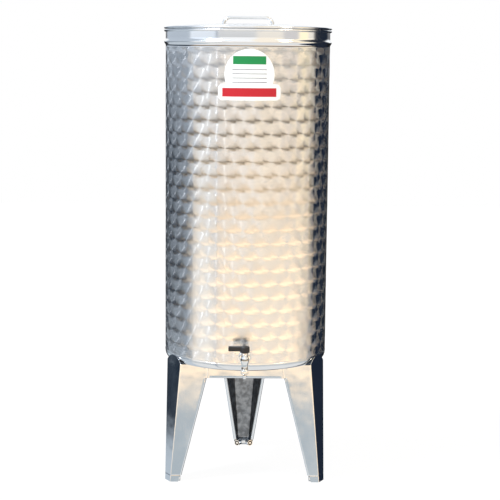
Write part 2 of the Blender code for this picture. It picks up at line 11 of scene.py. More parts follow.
import bmesh
import bpy
import numpy as np
from mathutils import Matrix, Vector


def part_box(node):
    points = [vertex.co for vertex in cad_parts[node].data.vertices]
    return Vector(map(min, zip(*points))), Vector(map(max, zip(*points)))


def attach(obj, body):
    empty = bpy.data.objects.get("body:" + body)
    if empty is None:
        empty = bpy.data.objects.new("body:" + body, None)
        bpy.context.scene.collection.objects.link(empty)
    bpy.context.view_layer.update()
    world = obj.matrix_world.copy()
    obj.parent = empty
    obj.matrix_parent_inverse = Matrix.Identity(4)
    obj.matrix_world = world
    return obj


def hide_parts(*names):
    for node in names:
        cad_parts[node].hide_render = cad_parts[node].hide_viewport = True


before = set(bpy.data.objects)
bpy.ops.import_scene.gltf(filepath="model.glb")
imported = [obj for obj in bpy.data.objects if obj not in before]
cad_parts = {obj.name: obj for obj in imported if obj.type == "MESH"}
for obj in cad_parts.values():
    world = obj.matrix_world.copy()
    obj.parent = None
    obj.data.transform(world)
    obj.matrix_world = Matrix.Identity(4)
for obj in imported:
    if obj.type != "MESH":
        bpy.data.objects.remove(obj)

LOG = logging.getLogger("barrel")
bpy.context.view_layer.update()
TAU = 2 * np.pi
MERGE = 1e-6

WALL_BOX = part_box("barrel_wall")
RIM_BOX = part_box("top_rim")
PAN_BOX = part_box("bottom_pan")
AXIS_Y = (RIM_BOX[0].y + RIM_BOX[1].y) / 2
SEAM = PAN_BOX[0].z


class Body(Enum):
    """The bodies that a piece can ride on."""

    BARREL = "barrel"
    LID = "lid"
    LEVER = "tap_lever"


# Surfaces


@dataclass
class Surface:
    """A mesh as whole arrays: points of shape (n, 3) and four-cornered faces (m, 4)."""

    points: np.ndarray
    faces: np.ndarray

    def __add__(self, other: "Surface") -> "Surface":
        """Both surfaces as one mesh."""
        faces = np.vstack([self.faces, other.faces + len(self.points)])
        return Surface(np.vstack([self.points, other.points]), faces)

    def moved(self, x: float = 0.0, y: float = 0.0, z: float = 0.0) -> "Surface":
        """The surface moved by a distance along each axis."""
        return Surface(self.points + np.array([x, y, z]), self.faces)

    def turned(self, angle: float) -> "Surface":
        """The surface turned about the barrel's axis, anticlockwise from above.

        Args:
            angle: the turn in radians.

        Returns:
            The turned surface.
        """
        x, y = self.points[:, 0], self.points[:, 1] - AXIS_Y
        cos, sin = math.cos(angle), math.sin(angle)
        turned = np.stack([x * cos - y * sin, x * sin + y * cos + AXIS_Y, self.points[:, 2]], 1)
        return Surface(turned, self.faces)

    def laid_forward(self) -> "Surface":
        """The surface tipped a quarter turn, so that its local Z runs towards -Y."""
        x, y, z = self.points.T
        return Surface(np.stack([x, -z, y], 1), self.faces)


def lattice(rows: int, columns: int, rows_close: bool, columns_close: bool) -> np.ndarray:
    """Faces of a grid of points, numbered along its columns first.

    Args:
        rows: points along the first parameter.
        columns: points along the second parameter.
        rows_close: whether the last row joins the first.
        columns_close: whether the last column joins the first.

    Returns:
        An (m, 4) array. A face's normal is the column direction crossed with the row direction.
    """
    i = np.arange(rows if rows_close else rows - 1)[:, None]
    j = np.arange(columns if columns_close else columns - 1)[None, :]
    above, after = (i + 1) % rows, (j + 1) % columns
    corners = [i * columns + j, i * columns + after, above * columns + after, above * columns + j]
    return np.stack(np.broadcast_arrays(*corners), -1).reshape(-1, 4)


def grid_surface(grid: np.ndarray, rows_close: bool, columns_close: bool) -> Surface:
    """One skin through a (rows, columns, 3) grid of points."""
    rows, columns = grid.shape[:2]
    return Surface(grid.reshape(-1, 3), lattice(rows, columns, rows_close, columns_close))


def revolve(profile: np.ndarray, steps: int) -> Surface:
    """Carry a profile of (radius, height) round local Z.

    Point (i, j) is radius i times the cosine and sine of angle j, at height i. A profile that
    starts and ends on the axis is closed by its poles, and any other one runs on to its start.

    Args:
        profile: an (n, 2) array that climbs along its outer side.
        steps: the number of angles.

    Returns:
        A closed surface round the origin.
    """
    angle = np.linspace(0, TAU, steps, endpoint=False)[None, :]
    return ring_grid(np.broadcast_to(profile[:, :1], (len(profile), steps)), profile[:, 1:], angle)


def ring_grid(radius: np.ndarray, height: np.ndarray, angle: np.ndarray) -> Surface:
    """A closed ring whose radius may change with the angle as well as along the profile.

    Args:
        radius: (rows, columns) radii.
        height: (rows, 1) heights.
        angle: (1, columns) angles.

    Returns:
        A surface closed round the axis, and along the profile unless that ends on the axis.
    """
    grid = np.stack(np.broadcast_arrays(radius * np.cos(angle), radius * np.sin(angle), height), -1)
    on_axis = abs(radius[0]).max() < MERGE and abs(radius[-1]).max() < MERGE
    return grid_surface(grid, not on_axis, True)


def rounded(corners: np.ndarray, radius: np.ndarray, steps: int = 5) -> np.ndarray:
    """Round the corners of a flat path, whose two end points stay sharp.

    Each corner becomes an arc that touches both its sides: its centre lies on the bisector at
    the radius over the sine of half the angle, and its points turn evenly from the first
    touching point to the second.

    Args:
        corners: (n, 2) corner points.
        radius: the arc's radius at each of the n - 2 inner corners.
        steps: the points of each arc.

    Returns:
        The rounded path as an (m, 2) array.
    """
    before, corner, after = corners[:-2], corners[1:-1], corners[2:]
    size = np.maximum(np.broadcast_to(radius, len(corner)), MERGE)[:, None]
    back = (before - corner) / np.linalg.norm(before - corner, axis=1, keepdims=True)
    ahead = (after - corner) / np.linalg.norm(after - corner, axis=1, keepdims=True)
    half = np.arccos(np.clip((back * ahead).sum(1, keepdims=True), -0.99999, 0.99999)) / 2
    bisector = (back + ahead) / np.linalg.norm(back + ahead, axis=1, keepdims=True)
    centre = corner + bisector * size / np.sin(half)
    start = corner + back * size / np.tan(half) - centre
    end = corner + ahead * size / np.tan(half) - centre
    turn = np.pi - 2 * half
    share = np.linspace(0, 1, steps)[None, :, None]
    turn, start, end = turn[:, None], start[:, None], end[:, None]
    arc = (start * np.sin((1 - share) * turn) + end * np.sin(share * turn)) / np.sin(turn)
    arcs = (centre[:, None] + arc).reshape(-1, 2)
    return np.vstack([corners[:1], arcs, corners[-1:]])


def tube(path: np.ndarray, radius: float, sides: int, side_way: np.ndarray) -> Surface:
    """A round rod along a flat path, with rounded ends.

    A ring stands square to the path at each point: the path's plane normal and the direction
    square to both it and the tangent carry the ring's cosine and sine. At each end the rings
    shrink along a quarter circle, three tenths of the radius deep.

    Args:
        path: (n, 3) points.
        radius: the rod's radius.
        sides: the points of a ring.
        side_way: the unit normal of the path's plane.

    Returns:
        A closed surface.
    """
    tangent = np.gradient(path, axis=0)
    tangent /= np.linalg.norm(tangent, axis=1, keepdims=True)
    lean = np.linspace(0, np.pi / 2, 5)
    ends = 1 - np.cos(lean)
    depth = radius * 0.3
    first = path[0] + tangent[0] * depth * ends[:, None]
    last = path[-1] - tangent[-1] * depth * ends[::-1, None]
    inner = slice(1, -1)
    line = np.vstack([first, path[inner], last])
    size = np.concatenate([np.sin(lean), np.ones(len(path) - 2), np.sin(lean[::-1])]) * radius
    way = np.vstack([np.tile(tangent[0], (5, 1)), tangent[inner], np.tile(tangent[-1], (5, 1))])
    across = np.cross(way, side_way)
    angle = np.linspace(0, TAU, sides, endpoint=False)[None, :, None]
    ring = np.cos(angle) * across[:, None] + np.sin(angle) * side_way
    return grid_surface(line[:, None] + ring * size[:, None, None], False, True)


def sheet(outer: np.ndarray, inner: np.ndarray, columns_close: bool = False) -> Surface:
    """A sheet between two skins given as matching grids, closed along its edges.

    Args:
        outer: (rows, columns, 3) points of the outer skin.
        inner: the same points moved in by the sheet's thickness.
        columns_close: whether the sheet runs round and meets itself.

    Returns:
        A closed surface whose outer skin faces out where columns run right and rows run up.
    """
    rows, columns = outer.shape[:2]
    points = np.vstack([outer.reshape(-1, 3), inner.reshape(-1, 3)])
    skin = lattice(rows, columns, False, columns_close)
    other = rows * columns
    j = np.arange(columns if columns_close else columns - 1)
    after = (j + 1) % columns
    top = (rows - 1) * columns
    parts = [skin, skin[:, ::-1] + other]
    parts.append(np.stack([j + other, after + other, after, j], 1))
    parts.append(np.stack([j + top, after + top, after + top + other, j + top + other], 1))
    if not columns_close:
        i = np.arange(rows - 1) * columns
        up, end = i + columns, columns - 1
        parts.append(np.stack([i, up, up + other, i + other], 1))
        parts.append(np.stack([i + end, i + end + other, up + end + other, up + end], 1))
    return Surface(points, np.vstack(parts))


def closed_pipe(outer: np.ndarray, inner: np.ndarray) -> Surface:
    """A pipe's wall between two skins, with flat rings at both its ends.

    Args:
        outer: (columns, stations, 3) points of the outer skin, whose columns run round it.
        inner: the same points of the bore.

    Returns:
        A closed surface.
    """
    rounds, stations = outer.shape[:2]
    skin = lattice(rounds, stations, True, False)
    other = rounds * stations
    i = np.arange(rounds) * stations
    after = np.roll(i, -1)
    end = stations - 1
    near = np.stack([i, after, after + other, i + other], 1)
    far = np.stack([i + end, i + end + other, after + end + other, after + end], 1)
    points = np.vstack([outer.reshape(-1, 3), inner.reshape(-1, 3)])
    return Surface(points, np.vstack([skin, skin[:, ::-1] + other, near, far]))


def torus(ring_radius: float, tube_radius: float, height: float, steps: int) -> Surface:
    """A rolled edge: a circle of (radius, height) points carried round the axis.

    Args:
        ring_radius: the radius of the tube's middle line.
        tube_radius: the radius of the tube itself.
        height: the height of the tube's middle line.
        steps: the points of a ring.

    Returns:
        A closed ring round local Z.
    """
    lean = np.linspace(0, TAU, 20, endpoint=False)
    circle = np.stack([np.cos(lean), np.sin(lean)], 1) * tube_radius + [ring_radius, height]
    return revolve(circle, steps)


def lens(radius: float, rise: float, depth: float) -> Surface:
    """A low round mound of weld: a half cosine of the distance from its middle, on a flat base.

    Args:
        radius: the mound's radius.
        rise: its height.
        depth: how far its base lies below.

    Returns:
        A closed surface round local Z.
    """
    reach = np.linspace(0, 1, 7)
    top = np.stack([reach[::-1] * radius, rise * np.cos(reach[::-1] * np.pi / 2)], 1)
    base = np.array([[0, -depth], [radius, -depth]])
    return revolve(np.vstack([base, top]), 20)


# Materials


class Wire:
    """One value in a node tree, with the arithmetic that joins it to others."""

    def __init__(self, graph: "Graph", socket: bpy.types.NodeSocket) -> None:
        """Hold a node's output socket and the tree that it belongs to."""
        self.graph = graph
        self.socket = socket

    def __add__(self, other: "Wire | float") -> "Wire":
        """The sum of two values."""
        return self.graph.maths("ADD", self, other)

    def __sub__(self, other: "Wire | float") -> "Wire":
        """The difference of two values."""
        return self.graph.maths("SUBTRACT", self, other)

    def __mul__(self, other: "Wire | float") -> "Wire":
        """The product of two values."""
        return self.graph.maths("MULTIPLY", self, other)

    def __truediv__(self, other: "Wire | float") -> "Wire":
        """The quotient of two values."""
        return self.graph.maths("DIVIDE", self, other)

    def __lt__(self, other: "Wire | float") -> "Wire":
        """One where the value is the smaller one, and zero elsewhere."""
        return self.graph.maths("LESS_THAN", self, other)

    def floor(self) -> "Wire":
        """The whole number below the value."""
        return self.graph.maths("FLOOR", self)

    def fraction(self) -> "Wire":
        """What the value has beyond the whole number below it."""
        return self.graph.maths("FRACT", self)

    def absolute(self) -> "Wire":
        """The value without its sign."""
        return self.graph.maths("ABSOLUTE", self)


class Graph:
    """A node tree with short ways to add the nodes that the finishes share."""

    def __init__(self, tree: bpy.types.NodeTree) -> None:
        """Wrap a material's or the world's node tree."""
        self.tree = tree

    def node(self, kind: str, **values: object) -> bpy.types.Node:
        """Add a node, set its properties and then its input sockets.

        Args:
            kind: the node's type name.
            values: properties of the node, or input sockets by name with spaces as underscores.

        Returns:
            The new node.
        """
        made = self.tree.nodes.new(kind)
        for name, value in values.items():
            if hasattr(made, name):
                setattr(made, name, value)
        for name, value in values.items():
            if not hasattr(made, name):
                self.feed(made.inputs[name.replace("_", " ")], value)
        return made

    def feed(self, socket: bpy.types.NodeSocket, value: object) -> None:
        """Link a wire to a socket, or set the socket's own value.

        Args:
            socket: the input socket.
            value: a wire, or a plain value.
        """
        if isinstance(value, Wire):
            self.tree.links.new(value.socket, socket)
        else:
            socket.default_value = value

    def maths(self, operation: str, *values: "Wire | float") -> Wire:
        """One arithmetic node.

        Args:
            operation: the node's operation.
            values: its operands in order.

        Returns:
            The result.
        """
        made = self.tree.nodes.new("ShaderNodeMath")
        made.operation = operation
        for socket, value in zip(made.inputs, values):
            self.feed(socket, value)
        return Wire(self, made.outputs[0])

    def mix(self, share: "Wire | float", first: object, second: object) -> Wire:
        """A number between two others.

        Args:
            share: zero for the first number, one for the second.
            first: the first number.
            second: the second number.

        Returns:
            The mixed number.
        """
        made = self.node("ShaderNodeMix", data_type="FLOAT", clamp_factor=True)
        for index, value in zip((0, 2, 3), (share, first, second)):
            self.feed(made.inputs[index], value)
        return Wire(self, made.outputs[0])

    def tint(self, share: "Wire | float", first: object, second: object) -> Wire:
        """A colour between two others.

        Args:
            share: zero for the first colour, one for the second.
            first: the first colour.
            second: the second colour.

        Returns:
            The mixed colour.
        """
        made = self.node("ShaderNodeMix", data_type="RGBA", clamp_factor=True)
        for index, value in zip((0, 6, 7), (share, first, second)):
            self.feed(made.inputs[index], value)
        return Wire(self, made.outputs[2])

    def spread(self, value: Wire, low: float, high: float, start: float, end: float) -> Wire:
        """Map a value from low..high to start..end along a smooth step.

        Args:
            value: the value.
            low: where the step starts.
            high: where it ends.
            start: the result below it.
            end: the result above it.

        Returns:
            The mapped value.
        """
        made = self.node("ShaderNodeMapRange", interpolation_type="SMOOTHSTEP")
        for socket, item in zip(made.inputs, (value, low, high, start, end)):
            self.feed(socket, item)
        return Wire(self, made.outputs[0])

    def place(self) -> Wire:
        """The point of the surface in the row frame, since each object stands at the origin."""
        return Wire(self, self.node("ShaderNodeTexCoord").outputs["Object"])

    def split(self, vector: Wire) -> tuple[Wire, Wire, Wire]:
        """A vector's three parts.

        Args:
            vector: the vector.

        Returns:
            Its x, y and z.
        """
        made = self.node("ShaderNodeSeparateXYZ")
        self.feed(made.inputs[0], vector)
        return tuple(Wire(self, socket) for socket in made.outputs)

    def vector(self, x: "Wire | float", y: "Wire | float", z: "Wire | float") -> Wire:
        """A vector from its three parts.

        Args:
            x: the first part.
            y: the second part.
            z: the third part.

        Returns:
            The vector.
        """
        made = self.node("ShaderNodeCombineXYZ")
        for socket, value in zip(made.inputs, (x, y, z)):
            self.feed(socket, value)
        return Wire(self, made.outputs[0])

    def noise(self, vector: Wire, scale: float, detail: float = 2.0, rough: float = 0.5) -> Wire:
        """Cloudy noise from 0 to 1.

        Args:
            vector: the place.
            scale: patches in a unit of length.
            detail: how many finer layers it has.
            rough: how strong they are.

        Returns:
            The noise.
        """
        made = self.node(
            "ShaderNodeTexNoise", Vector=vector, Scale=scale, Detail=detail, Roughness=rough
        )
        return Wire(self, made.outputs["Fac"])

    def bump(self, height: Wire) -> Wire:
        """A normal that leans with a height in metres."""
        made = self.node("ShaderNodeBump", Strength=1.0, Distance=1.0, Height=height)
        return Wire(self, made.outputs[0])


def around_barrel(graph: Graph, place: Wire) -> tuple[Wire, Wire, Wire]:
    """Cylinder coordinates of a point.

    Args:
        graph: the node tree.
        place: the point in the row frame.

    Returns:
        The angle from the front towards +X, the distance from the axis and the height.
    """
    x, y, z = graph.split(place)
    back = y - AXIS_Y
    angle = graph.maths("ARCTAN2", x, back * -1.0)
    distance = graph.maths("SQRT", x * x + back * back)
    return angle, distance, z


@dataclass(frozen=True)
class Metal:
    """A sheet metal finish, whose roughness and relief follow cloudy noise.

    Attributes:
        name: the material's name.
        colour: the metal's own colour.
        roughness: its lowest and highest roughness.
        cloud: how many soft patches a metre holds.
        grain: patches a metre along x, y and z of the fine grain.
        relief: height of the grain's relief in metres.
        wave: height of the soft unevenness in metres.
        inner_shade_and_dull: the red, green and blue of a painted shade, and a duller roughness,
            where the "inside" attribute is one.
    """

    name: str
    colour: tuple[float, float, float]
    roughness: tuple[float, float]
    cloud: float = 9.0
    grain: tuple[float, float, float] = (600.0, 600.0, 60.0)
    relief: float = 0.00001
    wave: float = 0.0
    inner_shade_and_dull: tuple[float, float, float, float] | None = None

    def build(self) -> bpy.types.Material:
        """Make the material.

        Returns:
            A metal whose patches vary its colour and roughness a little.
        """
        material, graph, shader = blank_material(self.name)
        place = graph.place()
        patches = graph.noise(place, self.cloud, 3.0)
        stretched = graph.node("ShaderNodeMapping", Scale=self.grain, Vector=place)
        grain = graph.noise(Wire(graph, stretched.outputs[0]), 1.0, 2.0)
        dark = tuple(part * 0.93 for part in self.colour)
        colour = graph.tint(graph.spread(patches, 0.3, 0.7, 0.0, 1.0), (*dark, 1), (*self.colour, 1))
        low, high = self.roughness
        rough = graph.spread(patches + grain * 0.35, 0.45, 0.9, low, high)
        # Painted shade: the inner skin's colour is darkened to a mottled grey blue, and its roughness
        # is raised.
        if self.inner_shade_and_dull:
            within = graph.node("ShaderNodeAttribute", attribute_name="inside")
            share = Wire(graph, within.outputs["Fac"])
            mottled = graph.spread(graph.noise(place, 70.0, 3.0), 0.35, 0.65, 0.55, 1.1)
            shaded_inside = graph.node("ShaderNodeVectorMath", operation="SCALE")
            shaded_inside.inputs[0].default_value = self.inner_shade_and_dull[:3]
            graph.feed(shaded_inside.inputs["Scale"], mottled)
            colour = graph.tint(share, colour, Wire(graph, shaded_inside.outputs[0]))
            rough = graph.mix(share, rough, self.inner_shade_and_dull[3])
        height = grain * self.relief + graph.noise(place, self.cloud * 1.7, 1.0) * self.wave
        graph.feed(shader.inputs["Base Color"], colour)
        graph.feed(shader.inputs["Roughness"], rough)
        graph.feed(shader.inputs["Normal"], graph.bump(height))
        shader.inputs["Metallic"].default_value = 1.0
        return material


def blank_material(name: str) -> tuple[bpy.types.Material, Graph, bpy.types.Node]:
    """A new node material.

    Args:
        name: the material's name.

    Returns:
        The material, its node tree and its surface shader.
    """
    material = bpy.data.materials.new(name)
    material.use_nodes = True
    return material, Graph(material.node_tree), material.node_tree.nodes["Principled BSDF"]


@dataclass(frozen=True)
class EngineTurnedSteel:
    """Sheet covered in overlapping discs, each brushed in circles about its own centre.

    The discs stand in level rows, every second row moved on by half a disc. Each one laps the
    disc to its right and the row above it.

    Attributes:
        colour: the metal's own colour.
        radius: the wall's radius.
        count: discs in one row round the barrel.
        row_pitch: height from one row of centres to the next.
        first_row: height of a row whose discs start at the front.
        front_shift: how far that row's disc stands from the front, in discs.
        disc_radius: radius of one brushed disc.
        field: the lowest and highest point of the brushed field.
        swirl: how far the brush marks lean off true circles, in radians.
        dish: how deep a disc is dished at its edge.
        groove: height of the circular brush marks.
        marks: how many brush marks a metre holds.
        wander: how much the swirl differs from disc to disc, in radians.
        edge: where the painted shade at a disc's edge starts, as a share of its radius.
        fade: the height over which the brushed field starts and ends.
        anisotropy: how far highlights stretch across the brush marks.
    """

    colour: tuple[float, float, float] = (0.80, 0.80, 0.80)
    radius: float = 0.200
    count: int = 29
    row_pitch: float = 0.03205
    first_row: float = 0.8896
    front_shift: float = -0.17
    disc_radius: float = 0.025
    field: tuple[float, float] = (0.3145, 1.060)
    swirl: float = 0.14
    dish: float = 0.00006
    groove: float = 0.00016
    marks: float = 900.0
    wander: float = 0.12
    edge: float = 0.93
    fade: float = 0.002
    anisotropy: float = 1.0

    def discs(self, graph: Graph, angle: Wire, height: Wire) -> tuple[Wire, Wire, Wire]:
        """Find the topmost disc at a point.

        Along a row a point lies between two discs, and it lies between two rows, so four discs
        can cover it. They are laid down in turn, and the last one that covers it counts.

        Args:
            graph: the node tree.
            angle: the angle round the barrel.
            height: the height above the floor.

        Returns:
            The point's place right of and above that disc's centre, and the disc's number.
        """
        pitch = TAU * self.radius / self.count
        across = angle * (self.count / TAU) - self.front_shift
        up = (height - self.first_row) / self.row_pitch
        right, above, number = None, None, None
        for upper in (1.0, 0.0):
            row = up.floor() + upper
            along = across - (row * 0.5).fraction()
            for later in (1.0, 0.0):
                disc = along.floor() + later
                u = (along - disc) * pitch
                v = (up - row) * self.row_pitch
                own = row * 31.7 + disc
                if right is None:
                    right, above, number = u, v, own
                    continue
                covered = (u * u + v * v) < self.disc_radius ** 2
                right = graph.mix(covered, right, u)
                above = graph.mix(covered, above, v)
                number = graph.mix(covered, number, own)
        return right, above, number

    def build(self) -> bpy.types.Material:
        """Make the material.

        The shader's tangent runs from the disc's centre to the point, turned by the swirl, so
        that highlights stretch across the circular brush marks.

        Returns:
            The brushed metal, which is plain above and below the field.
        """
        material, graph, shader = blank_material("engine_turned_steel")
        place = graph.place()
        angle, _, height = around_barrel(graph, place)
        right, above, number = self.discs(graph, angle, height)
        chance = graph.node("ShaderNodeTexWhiteNoise", noise_dimensions="1D", W=number)
        luck = Wire(graph, chance.outputs["Value"])
        reach = graph.maths("SQRT", right * right + above * above)
        foot, top = self.field
        low = graph.spread(height, foot, foot + self.fade, 0.0, 1.0)
        high = graph.spread(height, top - self.fade, top, 1.0, 0.0)
        brushed = low * high

        lean = (luck - 0.5) * self.wander + self.swirl
        cos, sin = graph.maths("COSINE", lean), graph.maths("SINE", lean)
        along = right * cos - above * sin
        rise = right * sin + above * cos
        along = graph.mix(brushed, 1.0, along)
        rise = graph.mix(brushed, 0.0, rise)
        tangent = graph.vector(
            graph.maths("COSINE", angle) * along, graph.maths("SINE", angle) * along, rise
        )
        unit = graph.node("ShaderNodeVectorMath", operation="NORMALIZE")
        graph.feed(unit.inputs[0], tangent)

        marks = graph.noise(graph.vector(reach * self.marks, number, 0.0), 1.0, 2.0, 0.6)
        patches = graph.noise(place, 6.0, 2.0)
        # Painted shade: the base colour darkens by up to six hundredths towards each disc's edge.
        edge = self.disc_radius * self.edge
        rim = graph.spread(reach, edge, self.disc_radius, 0.0, 1.0) * brushed
        rough = marks * 0.05 + luck * 0.02 + patches * 0.03 + 0.15
        rough = graph.mix(brushed, patches * 0.06 + 0.05, rough)
        shade = (marks - 0.5) * 0.10 * brushed + (luck - 0.5) * 0.05 * brushed + 1.0 - rim * 0.06
        colour = graph.node("ShaderNodeVectorMath", operation="SCALE")
        colour.inputs[0].default_value = self.colour
        graph.feed(colour.inputs["Scale"], shade)
        bowl = (reach * reach) / (self.disc_radius ** 2) * self.dish
        relief = (bowl + marks * self.groove) * brushed
        graph.feed(shader.inputs["Base Color"], Wire(graph, colour.outputs[0]))
        graph.feed(shader.inputs["Roughness"], rough)
        graph.feed(shader.inputs["Normal"], graph.bump(relief))
        graph.feed(shader.inputs["Tangent"], Wire(graph, unit.outputs[0]))
        shader.inputs["Metallic"].default_value = 1.0
        shader.inputs["Anisotropic"].default_value = self.anisotropy
        return material


@dataclass(frozen=True)
class Plastic:
    """A moulded plastic or rubber with a fine texture.

    Attributes:
        name: the material's name.
        colour: its colour.
        roughness: its lowest and highest roughness.
        relief: height of the moulded texture in metres.
    """

    name: str
    colour: tuple[float, float, float]
    roughness: tuple[float, float]
    relief: float = 0.00002

    def build(self) -> bpy.types.Material:
        """Make the material.

        Returns:
            A plastic that is paler and duller where it is rubbed.
        """
        material, graph, shader = blank_material(self.name)
        place = graph.place()
        pebbles = graph.noise(place, 2200.0, 2.0)
        rubs = graph.noise(place, 120.0, 3.0)
        worn = tuple(part * 1.6 + 0.004 for part in self.colour)
        colour = graph.tint(graph.spread(rubs, 0.45, 0.8, 0.0, 1.0), (*self.colour, 1), (*worn, 1))
        graph.feed(shader.inputs["Base Color"], colour)
        graph.feed(shader.inputs["Roughness"], graph.spread(rubs, 0.3, 0.7, *self.roughness))
        graph.feed(shader.inputs["Normal"], graph.bump(pebbles * self.relief))
        return material


@dataclass(frozen=True)
class LabelPrint:
    """Printed white film: a green band above, a red one below and ruled lines between.

    The print follows the label's own UV map, whose u runs from its left edge to its right one
    and whose v runs from its foot to its head.

    Attributes:
        film: the film's white.
        green: the upper band's colour.
        red: the lower band's colour.
        ink: the ruled lines' grey.
        upper: the green band's lower edge, upper edge and half width.
        lower: the same of the red band.
        ruled: the same of the ruled field.
        lines: how many ruled lines there are.
        line: half a ruled line's thickness, as a share of the lines' pitch.
    """

    film: tuple[float, float, float] = (0.86, 0.87, 0.87)
    green: tuple[float, float, float] = (0.003, 0.23, 0.06)
    red: tuple[float, float, float] = (0.50, 0.008, 0.02)
    ink: tuple[float, float, float] = (0.05, 0.05, 0.055)
    upper: tuple[float, float, float] = (0.70, 0.86, 0.26)
    lower: tuple[float, float, float] = (0.07, 0.24, 0.43)
    ruled: tuple[float, float, float] = (0.31, 0.64, 0.27)
    lines: int = 4
    line: float = 0.07

    def bar(self, graph: Graph, u: Wire, v: Wire, edges: tuple[float, float, float]) -> Wire:
        """One inside an upright bar round the middle, and zero outside it.

        Args:
            graph: the node tree.
            u: the place across the label.
            v: the place up the label.
            edges: the bar's lower edge, upper edge and half width.

        Returns:
            The bar's mask.
        """
        low, high, half = edges
        return ((u - 0.5).absolute() < half) * (v < high) * graph.maths("GREATER_THAN", v, low)

    def build(self) -> bpy.types.Material:
        """Make the material.

        Returns:
            The printed film with faint scuffs in its gloss.
        """
        material, graph, shader = blank_material("label_print")
        uv = graph.node("ShaderNodeUVMap", uv_map="label")
        u, v, _ = graph.split(Wire(graph, uv.outputs[0]))
        low, high, _ = self.ruled
        rule = (v - low) * (self.lines / (high - low))
        ruled = (rule.fraction() - 0.5).absolute() < self.line
        ruled = ruled * self.bar(graph, u, v, self.ruled)
        colour = graph.tint(self.bar(graph, u, v, self.upper), (*self.film, 1), (*self.green, 1))
        colour = graph.tint(self.bar(graph, u, v, self.lower), colour, (*self.red, 1))
        colour = graph.tint(ruled, colour, (*self.ink, 1))
        scuffs = graph.noise(graph.place(), 300.0, 3.0)
        graph.feed(shader.inputs["Base Color"], colour)
        graph.feed(shader.inputs["Roughness"], graph.spread(scuffs, 0.3, 0.7, 0.28, 0.42))
        return material


@dataclass(frozen=True)
class Finishes:
    """The finishes that the pieces share, built once."""

    turned: bpy.types.Material
    bright: bpy.types.Material
    satin: bpy.types.Material
    plated: bpy.types.Material
    black: bpy.types.Material
    seal: bpy.types.Material
    label: bpy.types.Material

    @classmethod
    def make(cls) -> "Finishes":
        """Build every finish.

        Returns:
            The whole set.
        """
        bright = Metal("bright_steel", (0.82, 0.83, 0.84), (0.10, 0.19), wave=0.00006)
        satin = Metal(
            "satin_steel",
            (0.77, 0.79, 0.81),
            (0.07, 0.13),
            cloud=16.0,
            grain=(900.0, 900.0, 25.0),
            relief=0.000006,
            wave=0.0002,
            # painted shade on the legs' inner skins, with a duller roughness
            inner_shade_and_dull=(0.29, 0.32, 0.36, 0.28),
        )
        plated = Metal("plated_brass", (0.84, 0.84, 0.83), (0.05, 0.12), 60.0, relief=0.000004)
        return cls(
            turned=EngineTurnedSteel().build(),
            bright=bright.build(),
            satin=satin.build(),
            plated=plated.build(),
            black=Plastic("black_plastic", (0.009, 0.009, 0.010), (0.28, 0.45)).build(),
            seal=Plastic("white_seal", (0.72, 0.72, 0.70), (0.45, 0.6)).build(),
            label=LabelPrint().build(),
        )


class Slot(Enum):
    """The record's material slots."""

    TURNED = "engine_turned_steel"
    BRIGHT = "bright_steel"
    SATIN = "satin_steel"
    PLATED = "plated_metal"
    BLACK = "black_plastic"
    SEAL = "white_seal"


def add_piece(
    name: str,
    surface: Surface,
    material: bpy.types.Material,
    body: Body,
    replaces: tuple[str, ...] = (),
    sharp: float = 40.0,
    inner_from: int | None = None,
) -> bpy.types.Object:
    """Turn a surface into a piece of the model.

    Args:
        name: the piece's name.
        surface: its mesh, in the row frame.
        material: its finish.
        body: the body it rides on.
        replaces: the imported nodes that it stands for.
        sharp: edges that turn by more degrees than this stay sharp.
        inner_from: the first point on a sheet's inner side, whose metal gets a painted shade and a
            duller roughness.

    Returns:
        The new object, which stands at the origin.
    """
    mesh = bpy.data.meshes.new(name)
    mesh.from_pydata(surface.points.tolist(), [], surface.faces.tolist())
    if inner_from is not None:
        inside = (np.arange(len(surface.points)) >= inner_from).astype(np.float32)
        mesh.attributes.new("inside", "FLOAT", "POINT").data.foreach_set("value", inside)
    shape = bmesh.new()
    shape.from_mesh(mesh)
    bmesh.ops.remove_doubles(shape, verts=shape.verts, dist=MERGE)
    shape.to_mesh(mesh)
    shape.free()
    mesh.shade_smooth()
    mesh.set_sharp_from_angle(angle=math.radians(sharp))
    mesh.materials.append(material)
    piece = bpy.data.objects.new(name, mesh)
    bpy.context.scene.collection.objects.link(piece)
    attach(piece, body.value)
    if replaces:
        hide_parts(*replaces)
    LOG.info("%s: %d faces on %s", name, len(mesh.polygons), body.value)
    return piece


def dress_nodes(names: tuple[str, ...], material: bpy.types.Material) -> None:
    """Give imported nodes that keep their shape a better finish.

    Args:
        names: the nodes.
        material: their finish.
    """
    for name in names:
        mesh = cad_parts[name].data
        mesh.materials.clear()
        mesh.materials.append(material)


# Sub-assemblies


